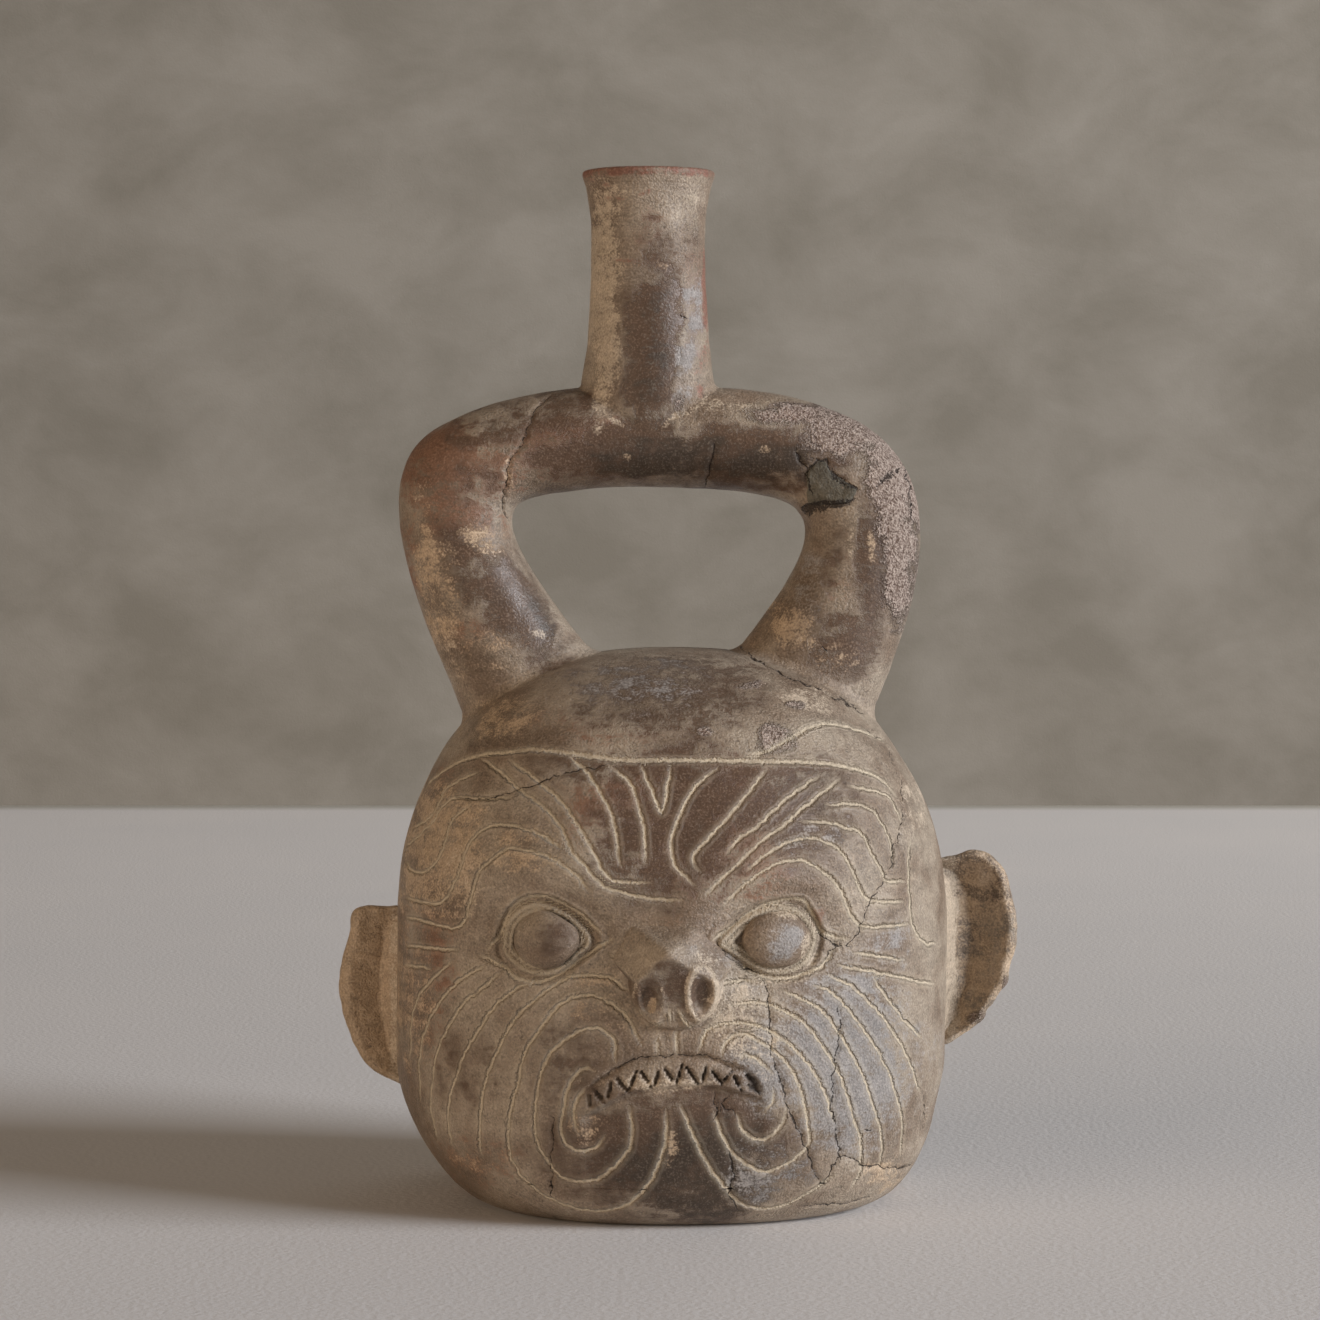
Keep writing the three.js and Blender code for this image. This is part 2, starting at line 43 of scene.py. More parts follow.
fullTurn = 2 * math.pi
print("frame loaded:", len(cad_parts), "solids")

# the photograph's camera: pixels of a 1320 x 1320 frame, millimetres, degrees
photo = {"side": 1320, "focal": 3958, "spot": (-2.76, -950, 165), "pitch": 2.23, "sensor": 36}
tilt = math.radians(photo["pitch"])
eyeSpot = np.array(photo["spot"], float)
lookAlong = np.array((0, math.cos(tilt), -math.sin(tilt)))
lookUp = np.array((0, math.sin(tilt), math.cos(tilt)))


def pixelsOf(points):  # where points of the bottle land in the photograph
    away = points - eyeSpot
    depth = away @ lookAlong
    across = photo["side"] / 2 + photo["focal"] * away[:, 0] / depth
    down = photo["side"] / 2 - photo["focal"] * (away @ lookUp) / depth
    return np.stack((across, down), axis=1)


def sightLines(pixels):  # directions from the camera through pixels
    offset = (np.asarray(pixels, float) - photo["side"] / 2) / photo["focal"]
    right = np.array((1.0, 0, 0))
    return lookAlong + offset[:, :1] * right - offset[:, 1:] * lookUp


def onPlane(pixels, y):  # points seen at these pixels on the upright plane at y
    lines = sightLines(pixels)
    return eyeSpot + lines * ((y - eyeSpot[1]) / lines[:, 1:2])


def smoothPath(points, step=1.0, closed=False):  # Catmull-Rom curve through points, sampled about every step
    points = np.asarray(points, float)
    if closed:
        ring = np.vstack((points[-1:], points, points[:2]))
    else:
        ring = np.vstack((2 * points[:1] - points[1:2], points, 2 * points[-1:] - points[-2:-1]))
    samples = []
    for a, b, c, d in zip(ring, ring[1:], ring[2:], ring[3:]):
        count = max(2, int(np.linalg.norm(c - b) / step))
        t = np.linspace(0, 1, count, endpoint=False)[:, None]
        bend = (2 * a - 5 * b + 4 * c - d) * t**2 + (3 * b - a - 3 * c + d) * t**3
        samples.append(0.5 * (2 * b + (c - a) * t + bend))
    if not closed:
        samples.append(points[-1:])
    return np.vstack(samples)


def alongTable(path):  # how far along a path each of its points lies
    return np.concatenate(([0], np.cumsum(np.linalg.norm(np.diff(path, axis=0), axis=1))))


def evenly(points, count, closed=False):  # points spread evenly along a path
    points = np.asarray(points, float)
    if closed:
        points = np.vstack((points, points[:1]))
    along = alongTable(points)
    spots = np.linspace(0, along[-1], count, endpoint=not closed)
    return np.stack([np.interp(spots, along, points[:, k]) for k in range(points.shape[1])], axis=1)


def smoothStep(low, high, value):
    share = np.clip((value - low) / (high - low), 0, 1)
    return share * share * (3 - 2 * share)


def bell(offset, reach):
    return np.exp(-((offset / reach) ** 2))


def lumps(spots, size, seed):  # slow unevenness of hand-worked clay, from -1 to 1
    shift = Vector((seed * 17.3, seed * 5.1, seed * 9.7))
    return np.array([noise.noise(Vector(spot) / size + shift) for spot in spots])


# pieces: a sheet of quads is put in place by a function of its own across (s) and along (t), from 0 to 1.
# Where that also gives the way out of the skin, it is kept for each vertex, to work the skin by hand later
def addSheet(bm, columns, rows, place, creases=()):  # rows named in creases keep a sharp edge
    wayOf = bm.verts.layers.float_vector.get("way") or bm.verts.layers.float_vector.new("way")
    made = bmesh.ops.create_grid(bm, x_segments=columns, y_segments=rows, size=1)["verts"]
    flat = np.array([vert.co[:2] for vert in made]) * 0.5 + 0.5
    placed = place(flat[:, 0], flat[:, 1])
    spots, ways = placed if isinstance(placed, tuple) else (placed, np.zeros((len(made), 3)))
    rowOf = dict(zip(made, np.round(flat[:, 1] * rows).astype(int)))
    for vert, spot, way in zip(made, spots * mm, ways):
        vert.co = spot
        vert[wayOf] = way
    for vert in [vert for vert in made if rowOf[vert] in creases]:
        for edge in vert.link_edges:
            if rowOf[edge.other_vert(vert)] == rowOf[vert]:
                edge.smooth = False


def makePiece(name, bm, node, material):  # a finished piece that stands for a CAD node
    bmesh.ops.remove_doubles(bm, verts=bm.verts, dist=1e-6)
    bmesh.ops.dissolve_degenerate(bm, edges=bm.edges, dist=1e-7)
    bmesh.ops.recalc_face_normals(bm, faces=bm.faces)
    mesh = bpy.data.meshes.new(name)
    bm.to_mesh(mesh)
    bm.free()
    mesh.polygons.foreach_set("use_smooth", [True] * len(mesh.polygons))
    mesh.materials.append(material)
    piece = bpy.data.objects.new(name, mesh)
    bpy.context.collection.objects.link(piece)
    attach(piece, "root")
    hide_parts(node)
    return piece


def spotsOf(piece):  # vertex places in millimetres
    spots = np.empty(len(piece.data.vertices) * 3)
    piece.data.vertices.foreach_get("co", spots)
    return spots.reshape(-1, 3) / mm


def waysOf(piece):  # the way out of the skin at each vertex, and nothing where there is no skin
    ways = np.empty(len(piece.data.vertices) * 3, np.float32)
    piece.data.attributes["way"].data.foreach_get("vector", ways)
    return ways.reshape(-1, 3)


def normalsOf(piece):
    normals = np.empty(len(piece.data.vertices) * 3)
    piece.data.vertices.foreach_get("normal", normals)
    return normals.reshape(-1, 3)


def moveTo(piece, spots):
    piece.data.vertices.foreach_set("co", (spots * mm).ravel())
    piece.data.update()


def keepValues(piece, name, values):  # a value for each vertex, which the material reads by name
    layer = piece.data.attributes.new(name, "FLOAT", "POINT")
    layer.data.foreach_set("value", np.asarray(values, np.float32))


# Head: a pressed shell, squarish from above, with a rounded foot and a domed crown.
# swells: side of the head, height, reach up and down, and how far the outline moves there to the right
head = {
    "width": 131.6, "depth": 126, "height": 131, "foot": 88, "belly": 35, "shoulder": 60,
    "dome": 2.5, "plan": 2.3, "wall": 5, "joint": 10, "footForward": 3.2, "footReach": 12,
    "swells": [(-1, 7, 16, 1.9), (1, -2, 8, 1.9), (1, 22, 8, -0.9), (1, 108, 12, -1.2), (-1, 100, 14, 0.6)],
    "faceBend": (0.86, 117),  # this share of the face's rows lies below that height
    "axisReach": 12, "plainFoot": (0, 6), "plainCrown": (132, 118),  # where the skin isn't worked by hand
}
eyesAt = {"left": (-28.8, 67.5), "right": (24.1, 66.9)}
# swells and hollows of the face: height, and middle and reach across and up. Sockets and brows go by the eyes
relief = {
    "muzzle": {"height": 3.0, "at": (0, 38), "reach": (30, 20)},
    "bridge": {"height": 2.0, "at": (4.6, 71), "reach": (8, 11)},
    "socket": {"depth": 2.8, "reach": (15.5, 11)},
    "brow": {"height": 2.4, "above": 15, "reach": (20, 7)},
}


def outlineTable(inset):  # half widths and heights along the outline from the foot's edge to the crown
    quarter = np.linspace(0, 1, 300) ** 1.6 * math.pi / 2  # steps are closer where a curve starts
    half, foot = head["width"] / 2 - inset, head["foot"] / 2 - inset
    rise = head["height"] - head["shoulder"] - inset
    cornerUp = head["belly"] - (head["belly"] - inset) * np.cos(quarter)
    corner = np.stack((foot + (half - foot) * np.sin(quarter), cornerUp), 1)
    power = 2 / head["dome"]
    domeUp = head["shoulder"] + rise * np.sin(quarter) ** power
    dome = np.stack((half * np.clip(np.cos(quarter), 0, 1) ** power, domeUp), 1)
    return np.vstack((corner, dome))


def planTable():  # the plan's front half from the left side round to the right side
    turn = np.linspace(-math.pi / 2, math.pi / 2, 4001)
    power = 2 / head["plan"]
    x = np.sign(turn) * np.abs(np.sin(turn)) ** power
    y = -np.clip(np.cos(turn), 0, 1) ** power * head["depth"] / head["width"]
    return np.stack((x, y), 1)


planPoints = planTable()
planAlong = alongTable(planPoints)
outside = outlineTable(0)
inside = outlineTable(head["wall"])


def faceRelief(x, z):
    height = 0
    for part in (relief["muzzle"], relief["bridge"]):
        (middleX, middleZ), (reachX, reachZ) = part["at"], part["reach"]
        height = height + part["height"] * bell(x - middleX, reachX) * bell(z - middleZ, reachZ)
    socket, brow = relief["socket"], relief["brow"]
    for eyeX, eyeZ in eyesAt.values():
        reach = ((x - eyeX) / socket["reach"][0]) ** 2 + ((z - eyeZ) / socket["reach"][1]) ** 2
        height = height - socket["depth"] * np.exp(-(reach**2))
        browUp = z - eyeZ - brow["above"]
        height = height + brow["height"] * bell(x - eyeX, brow["reach"][0]) * bell(browUp, brow["reach"][1])
    return height


def headSpots(across, widths, heights, modelled, rear=False):  # across: from 0 at the left to 1 at the right
    spots = across * planAlong[-1]
    outward = np.interp(spots, planAlong, planPoints[:, 0])
    forward = np.interp(spots, planAlong, planPoints[:, 1])
    x, y = widths * outward, widths * forward
    if modelled:
        share = np.clip(1 - np.abs(outward) ** head["plan"], 0, 1)
        y = y - faceRelief(x, heights) * np.sqrt(share)
    swells = [shift * bell(heights - at, reach) * np.clip(side * outward, 0, 1)
              for side, at, reach, shift in head["swells"]]
    x = x + sum(swells)
    if not rear:
        y = y + head["footForward"] * bell(heights, head["footReach"]) * forward
    return np.stack((x, -y if rear else y, heights), 1)


def outlineAt(table, shares, low, bend=None):  # points of an outline from a height up to the crown
    along = alongTable(table)
    start = np.interp(low, table[:, 1], along)
    if bend:  # (share, height): this share of the rows lies below that height
        middle = np.interp(bend[1], table[:, 1], along)
        spots = np.interp(shares, (0, bend[0], 1), (start, middle, along[-1]))
    else:
        spots = start + shares * (along[-1] - start)
    return np.interp(spots, along, table[:, 0]), np.interp(spots, along, table[:, 1])


def headWays(spots):  # away from the head's upright axis, and nothing at the flat foot and the crown
    away = spots * np.array((1, 1, 0))
    away = away / np.maximum(np.linalg.norm(away, axis=1), head["axisReach"])[:, None]
    worked = smoothStep(*head["plainFoot"], spots[:, 2]) * smoothStep(*head["plainCrown"], spots[:, 2])
    return away * worked[:, None]


def facePlace(s, t):
    widths, heights = outlineAt(outside, t, head["joint"], head["faceBend"])
    spots = headSpots(s, widths, heights, True)
    return spots, headWays(spots)


def rearPlace(s, t):
    widths, heights = outlineAt(outside, t, head["joint"])
    spots = headSpots(s, widths, heights, False, True)
    return spots, headWays(spots)


def wholeFacePlace(s, t):  # the face with the base under it, to lay the photograph's lines on
    widths, heights = outlineAt(outside, t, 0)
    return headSpots(s, widths, heights, True)


def frontY(x, z):  # y of the face's surface at x and z
    widths = np.interp(z, outside[:, 1], outside[:, 0])
    share = np.clip(1 - np.clip(np.abs(x) / widths, 0, 1) ** head["plan"], 0, 1)
    plain = widths * head["depth"] / head["width"] * share ** (1 / head["plan"])
    return -plain - faceRelief(x, z) * np.sqrt(share)


# Stirrup: two bent tubes and a crossbar, each lofted between an inner and an outer curve in the plane y = 0
stirrup = {
    "leftOuter": [(-49.9, 115), (-73.8, 170), (-72.2, 184.8), (-30.8, 192.1)],
    "leftInner": [(-18.9, 130.2), (-34.5, 148.4), (-40.7, 159.6), (-37.3, 164.6)],
    "rightOuter": [(48.4, 116), (69, 163.7), (61.9, 185.9), (22.4, 192.1)],
    "rightInner": [(16.4, 131.3), (30.5, 148.9), (35.1, 158.7), (30.3, 163.7)],
    "legDepth": 30, "barDepth": 29, "wall": 5, "crownZ": 194.6, "underZ": 171.2, "root": 9, "sides": 200,
    "skinRows": 130, "boreRows": 24, "rootRows": 8, "topShares": (0.35, 0.65), "underShares": (0.05, 0.95),
}


def bezier(handles, t, root):  # a cubic curve, run on straight by root before its start
    a, b, c, d = [np.array(handle, float) for handle in handles]
    before = np.minimum(t, 0)[:, None] * root * (b - a) / np.linalg.norm(b - a)
    t = np.clip(t, 0, 1)[:, None]
    return before + a * (1 - t)**3 + 3 * b * t * (1 - t)**2 + 3 * c * t**2 * (1 - t) + d * t**3


def barRail(side, shares, z):  # a curve of the crossbar, from one leg's to the other's
    start, end = stirrup["left" + side][3], stirrup["right" + side][3]
    return [start] + [(start[0] + (end[0] - start[0]) * share, z) for share in shares] + [end]


barTop = barRail("Outer", stirrup["topShares"], stirrup["crownZ"])
barUnder = barRail("Inner", stirrup["underShares"], stirrup["underZ"])
tubes = {
    "left_leg": (stirrup["leftOuter"], stirrup["leftInner"], stirrup["legDepth"], stirrup["root"]),
    "right_leg": (stirrup["rightOuter"], stirrup["rightInner"], stirrup["legDepth"], stirrup["root"]),
    "crossbar": (barTop, barUnder, stirrup["barDepth"], 0),
}


def tubeSpots(tube, angle, along, wall=0.0):  # points of a tube's skin, and the way out from them
    outerRail, innerRail, startDepth, root = tube
    high, low = bezier(outerRail, along, root), bezier(innerRail, along, root)
    middle, half = (high + low) / 2, (high - low) / 2
    length = np.linalg.norm(half, axis=1)
    depth = (startDepth + (stirrup["barDepth"] - startDepth) * np.clip(along, 0, 1)) / 2
    flat = middle + half * ((length - wall) / length * np.cos(angle))[:, None]
    spots = np.stack((flat[:, 0], (depth - wall) * np.sin(angle), flat[:, 1]), 1)
    way = half / length[:, None] * (np.cos(angle) / length)[:, None]
    out = np.stack((way[:, 0], np.sin(angle) / depth, way[:, 1]), 1)
    return spots, out / np.linalg.norm(out, axis=1)[:, None]


def tubePlace(tube):  # s goes round it, t out along the skin and back along the bore to the start
    skinRows, boreRows = stirrup["skinRows"], stirrup["boreRows"]
    rootRows = stirrup["rootRows"] if tube[3] else 0
    rows = skinRows + boreRows + 2

    def alongOf(row):
        return np.where(row < rootRows, row / max(rootRows, 1) - 1, (row - rootRows) / (skinRows - rootRows))

    def place(s, t):
        row = np.round(t * rows)
        row = np.where(row == rows, 0, row)
        skin = row <= skinRows
        boreAlong = alongOf((skinRows + 1 + boreRows - row) / boreRows * skinRows)
        along = np.where(skin, alongOf(row), boreAlong)
        spots, out = tubeSpots(tube, s * fullTurn, along, np.where(skin, 0.0, stirrup["wall"]))
        return spots, out * skin[:, None]

    return rows, place


# Spout: a turned tube on the crossbar. saddle: how deep its foot is at each height, to sit on the crossbar
spout = {
    "x": -5.6, "wall": 4.3, "columns": 200, "rows": 130, "boreRows": 30,
    "radii": [(176, 17.2), (184, 16.9), (193, 16.0), (200, 15.05), (207, 14.35), (220, 13.75),
              (228.5, 13.55), (234, 13.8), (238, 14.3), (241.2, 14.9)],
    "saddle": [(176, 12.6), (181, 14.1), (183.5, 14.5), (190, 14.35), (207, 14.35)],
}
spoutCurve = smoothPath([(radius, z) for z, radius in spout["radii"]], 0.5)


def spoutSpots(angle, heights, wall=0.0):  # the spout's skin, with angle 0 at the front
    radius = np.interp(heights, spoutCurve[:, 1], spoutCurve[:, 0])
    depth = np.minimum(radius, np.interp(heights, *zip(*spout["saddle"]), right=99))  # round above its saddle
    x, y = spout["x"] + (radius - wall) * np.sin(angle), -(depth - wall) * np.cos(angle)
    return np.stack((x, y, heights), 1)


def smoothSpoutPlace(s, t):
    return spoutSpots(s * fullTurn, spoutCurve[0, 1] + t * (spoutCurve[-1, 1] - spoutCurve[0, 1]))


# smooth sheets as a tree to shine sight lines on, in millimetres
def treeOf(*sheets):
    bm = bmesh.new()
    for columns, rows, place in sheets:
        addSheet(bm, columns, rows, place)
    bmesh.ops.scale(bm, vec=(1 / mm,) * 3, verts=bm.verts)
    tree = BVHTree.FromBMesh(bm)
    bm.free()
    return tree


headSheets = [(150, 120, wholeFacePlace), (60, 50, rearPlace)]
tubeSheets = [(100, *tubePlace(tube)) for tube in tubes.values()]
smoothHead = treeOf(*headSheets)
smoothTubes = treeOf(*tubeSheets)
smoothBottle = treeOf(*headSheets, *tubeSheets, (80, 80, smoothSpoutPlace))


def castOn(tree, pixels):  # points of a tree seen at these pixels
    hits = [tree.ray_cast(Vector(eyeSpot), Vector(line).normalized())[0] for line in sightLines(pixels)]
    return np.array([hit for hit in hits if hit is not None])


def nearestOn(tree, points, lift, outward):  # points brought to a tree's surface, and lifted off it
    moved = []
    lifts, ways = np.broadcast_to(lift, len(points)), np.broadcast_to(outward, points.shape)
    for point, up, way in zip(points, lifts, ways):
        spot, normal = tree.find_nearest(Vector(point))[:2]
        moved.append(spot + normal * (up if normal.dot(Vector(way)) > 0 else -up))
    return np.array(moved)


# lines cut into the face, each as pixels of the photograph
incised = {
    "hairline": [
        [(423, 792), (432, 778), (454, 763), (479, 755), (507, 752), (536, 749), (566, 752), (593, 756),
         (629, 760), (681, 760), (722, 760), (762, 761), (803, 762), (834, 764), (864, 771), (881, 779),
         (895, 795)],
        [(750, 754), (766, 751), (791, 738), (813, 726), (836, 724), (860, 730), (885, 740)],
    ],
    "foreheadLeft": [
        [(480, 758), (500, 772), (523, 792), (543, 806), (561, 826), (571, 848), (586, 867), (597, 880),
         (610, 889), (647, 898), (680, 900)],
        [(511, 761), (529, 774), (561, 801), (575, 820), (586, 838), (597, 859), (604, 872), (617, 881),
         (649, 883)],
        [(570, 756), (587, 772), (605, 801), (614, 824), (620, 865)],
        [(612, 767), (630, 783), (638, 804), (644, 830), (646, 861)],
        [(641, 767), (652, 790), (662, 812), (667, 790), (670, 768)],
        [(476, 773), (459, 779), (443, 790), (432, 813), (414, 828)],
        [(512, 797), (482, 798), (453, 798), (441, 806), (429, 824), (407, 845)],
        [(469, 804), (451, 821), (443, 845), (436, 861), (425, 871), (412, 871), (406, 862)],
        [(562, 848), (543, 835), (523, 828), (501, 824), (482, 830), (469, 843), (462, 863), (453, 887),
         (445, 900), (434, 904), (407, 898)],
        [(590, 891), (575, 874), (556, 859), (534, 852), (512, 848), (494, 858), (479, 872), (473, 891),
         (466, 917), (455, 928), (434, 924), (407, 917)],
        [(407, 945), (430, 948), (457, 949)],
        [(405, 965), (431, 969)],
    ],
    "foreheadRight": [
        [(717, 769), (697, 785), (681, 813), (673, 836), (671, 851), (677, 868), (693, 884)],
        [(766, 771), (750, 791), (728, 818), (709, 838), (695, 854), (694, 862), (699, 870)],
        [(818, 777), (787, 799), (758, 826), (744, 835), (728, 852)],
        [(840, 779), (813, 801), (783, 826), (762, 841), (736, 866), (707, 894)],
        [(828, 805), (852, 804), (871, 809), (883, 825), (893, 849), (893, 864)],
        [(803, 822), (824, 822), (846, 827), (862, 833), (871, 851), (885, 876), (889, 881), (905, 881)],
        [(748, 871), (766, 855), (787, 843), (807, 838), (824, 841), (840, 849), (852, 868), (864, 894),
         (875, 901), (903, 902)],
        [(725, 904), (742, 888), (762, 872), (783, 862), (803, 860), (815, 866), (832, 878), (844, 896),
         (852, 915), (862, 926), (885, 927), (909, 924)],
        [(850, 786), (885, 794), (895, 806), (901, 821)],
        [(910, 841), (909, 872), (912, 913), (915, 929), (926, 943), (936, 943)],
        [(856, 953), (905, 960)],
        [(840, 966), (864, 970), (934, 984)],
    ],
    "lids": [
        [(488, 950), (501, 932), (512, 908), (527, 898), (542, 896), (560, 902), (579, 913), (601, 933)],
        [(482, 956), (501, 965), (519, 979), (543, 981), (567, 969), (593, 950), (612, 939)],
        [(713, 941), (730, 929), (754, 911), (779, 901), (801, 900), (811, 911), (820, 929), (834, 937),
         (848, 940)],
        [(715, 941), (732, 958), (754, 972), (779, 978), (803, 974), (824, 964), (834, 949)],
    ],
    "cheekLeft": [
        [(451, 962), (432, 980), (418, 997), (411, 1019), (409, 1060)],
        [(484, 965), (460, 980), (440, 1001), (425, 1028), (418, 1060), (419, 1101)],
        [(499, 973), (482, 988), (462, 1004), (447, 1028), (436, 1052), (431, 1080), (430, 1112),
         (436, 1141)],
        [(529, 984), (516, 988), (494, 1006), (479, 1027), (464, 1052), (455, 1075), (448, 1101),
         (447, 1123), (451, 1145)],
        [(629, 991), (606, 977), (582, 975), (562, 980), (543, 993), (519, 1014), (503, 1036),
         (492, 1060), (484, 1082), (480, 1108), (479, 1137), (482, 1156)],
        [(640, 1043), (629, 1021), (612, 1004), (590, 995), (567, 1000), (551, 1014), (536, 1034),
         (523, 1056), (518, 1078), (512, 1102), (508, 1126), (510, 1156), (523, 1178), (538, 1191),
         (553, 1200), (575, 1208), (601, 1211), (627, 1204), (645, 1189), (656, 1171), (664, 1149),
         (667, 1126), (666, 1112)],
        [(615, 1060), (614, 1041), (604, 1031), (592, 1028), (575, 1034), (556, 1047), (545, 1062),
         (538, 1082), (535, 1104), (534, 1126), (538, 1145), (551, 1167), (562, 1178), (579, 1182),
         (599, 1179), (617, 1165), (629, 1149), (632, 1130), (629, 1108)],
        [(593, 1071), (586, 1068), (575, 1075), (567, 1089), (563, 1108), (560, 1126), (564, 1143),
         (573, 1150), (586, 1152), (597, 1147), (604, 1137)],
        [(584, 1089), (575, 1102), (573, 1119), (577, 1132)],
        [(612, 955), (629, 958), (638, 970)],
    ],
    "cheekRight": [
        [(717, 984), (732, 981), (756, 980)],
        [(732, 1004), (754, 1002), (775, 1007), (799, 1019), (815, 1035), (826, 1050), (836, 1066),
         (844, 1086), (852, 1111), (860, 1140), (861, 1156), (860, 1174), (852, 1186)],
        [(699, 1050), (707, 1031), (722, 1024), (742, 1023), (766, 1029), (787, 1042), (805, 1060),
         (818, 1078), (828, 1101), (834, 1121)],
        [(722, 1054), (726, 1042), (740, 1034), (758, 1040), (775, 1052), (791, 1068), (801, 1091),
         (807, 1115), (809, 1144), (799, 1156), (783, 1166), (766, 1172), (748, 1166), (730, 1150),
         (720, 1129), (715, 1115)],
        [(740, 1060), (744, 1054), (758, 1060), (771, 1072)],
        [(764, 1112), (773, 1101), (774, 1091)],
        [(787, 1109), (783, 1123), (771, 1137), (756, 1140), (742, 1129), (738, 1117)],
        [(681, 1107), (693, 1135), (705, 1160), (722, 1184), (738, 1201), (758, 1208), (783, 1206),
         (803, 1197), (820, 1186), (834, 1176)],
        [(783, 991), (803, 999), (820, 1009), (836, 1027), (848, 1046), (862, 1072), (871, 1097),
         (879, 1123), (883, 1144), (880, 1166)],
        [(815, 986), (834, 993), (854, 1015), (875, 1044), (889, 1070), (897, 1095), (903, 1123),
         (901, 1156)],
        [(830, 976), (852, 986), (877, 1009), (897, 1035), (911, 1062), (920, 1091)],
        [(875, 978), (891, 1001), (905, 1019), (922, 1037)],
    ],
    "philtrum": [[(676, 1031), (677, 1044), (677, 1056)], [(657, 1040), (658, 1052)]],
}
# the edge of each eye, as pixels
eyeOutlines = {
    "left": [(508, 946), (512, 926), (523, 913), (538, 908), (556, 913), (575, 926), (586, 941),
             (575, 952), (560, 965), (543, 970), (525, 965), (512, 954)],
    "right": [(724, 943), (746, 923), (766, 913), (787, 911), (801, 919), (811, 937), (803, 958),
              (787, 968), (764, 966), (742, 953)],
}
# old cracks, gaps and edges of the fill, and shadow lines, as pixels. All are painted dark; along the lip's
# crease, along the right eye's lower lid and outer corner, and in the gaps by the fill that dark is painted
# shade
cracks = {
    "rightCheek": [
        [(762, 980), (769, 1001), (770, 1031), (773, 1058), (781, 1084), (791, 1115), (803, 1140),
         (813, 1168), (822, 1186)],
        [(838, 1005), (841, 1029), (836, 1060), (833, 1086), (832, 1107), (836, 1129), (839, 1154),
         (834, 1166), (824, 1184)],
        [(839, 1155), (856, 1160), (862, 1168), (877, 1166), (893, 1170), (911, 1165)],
        [(925, 1095), (927, 1112), (924, 1128)],
    ],
    "chin": [
        [(730, 1152), (734, 1172), (730, 1195), (740, 1209)],
        [(716, 1093), (713, 1104), (719, 1113), (712, 1122)],
        [(731, 1097), (722, 1106), (735, 1115)], [(806, 1208), (830, 1204), (850, 1203), (873, 1196)],
    ],
    "lidShadow": [[(714, 945), (728, 957), (742, 966), (760, 974)], [(820, 934), (834, 943), (848, 947)]],
    "lipCreaseShadow": [[(606, 1075), (630, 1061), (649, 1057), (668, 1056), (687, 1055), (710, 1056),
                   (733, 1064)]],
    "leftCheek": [[(554, 1117), (551, 1145), (551, 1173), (552, 1199)]],
    "forehead": [[(611, 763), (570, 772), (546, 779), (521, 788), (489, 797), (454, 798)]],
    "temple": [
        [(866, 730), (885, 740), (893, 760), (899, 775), (903, 795), (903, 820), (895, 851), (891, 870),
         (883, 884), (871, 902), (866, 919), (852, 941), (832, 949), (824, 962)],
    ],
    "leftSeam": [[(551, 395), (541, 403), (533, 415), (529, 425), (523, 441), (514, 454), (508, 464),
                  (507, 478), (504, 498), (504, 512), (508, 520)]],
    "fillMouth": [[(803, 511), (813, 505), (826, 504), (838, 504), (852, 500)],
                  [(806, 514), (815, 509), (825, 508)]],
    "fillGap": [[(829, 471), (840, 479), (856, 489)], [(878, 485), (888, 476), (899, 468)]],
    "fillEdge": [[(829, 471), (825, 460), (814, 465), (808, 471), (809, 484), (812, 496)],
                 [(796, 448), (799, 458), (808, 471)],
                 [(893, 443), (901, 459), (907, 474), (911, 494), (912, 521)]],
    "bar": [[(715, 440), (711, 465), (706, 488)]],
    "rightFoot": [[(740, 648), (753, 657), (783, 673), (811, 685), (829, 693), (846, 702), (862, 711)]],
    "pits": [[(867, 1129), (870, 1131)], [(682, 315), (685, 317)], [(824, 647), (826, 649)]],
}
# the lip, the row of teeth and its slits, as pixels; heights and depths in millimetres
mouth = {
    "upperEdge": [(584, 1092), (598, 1080), (616, 1068), (630, 1062), (649, 1059), (668, 1058),
                  (687, 1057), (710, 1058), (730, 1066), (744, 1070), (756, 1079), (763, 1092)],
    "lowerEdge": [(589, 1112), (608, 1101), (626, 1092), (649, 1087), (668, 1085), (689, 1083),
                  (705, 1083), (722, 1085), (736, 1089), (751, 1092), (763, 1097)],
    "slits": [
        [(588, 1094), (591, 1111)], [(593, 1090), (604, 1102)], [(611, 1080), (608, 1098)],
        [(616, 1078), (627, 1092)], [(636, 1072), (629, 1090)], [(640, 1071), (650, 1085)],
        [(659, 1069), (655, 1086)], [(664, 1067), (674, 1082)], [(682, 1066), (677, 1083)],
        [(686, 1067), (698, 1083)], [(707, 1066), (702, 1084)], [(711, 1069), (722, 1083)],
        [(730, 1073), (722, 1084)], [(733, 1073), (741, 1089)],
    ],
    "corner": [[(746, 1075), (755, 1083), (760, 1094)], [(748, 1084), (757, 1092)]],
    "lipHeight": 0.5, "lipFade": 4.5, "bandDepth": 0.35, "bandRoll": 0.7, "bandEdge": 0.3, "creaseDepth": 0.6,
    "ridgeHeight": 0.45, "edgeReach": 0.5, "chinDepth": 1.5, "chinFade": 9, "chinEdge": (0.2, 1.1),
    # the dark of the slits is painted shade in them
    "ends": (1.5, 2), "slitDepth": 1.6, "slitEdge": (0.8, 0.3), "slitShade": 0.75,
}
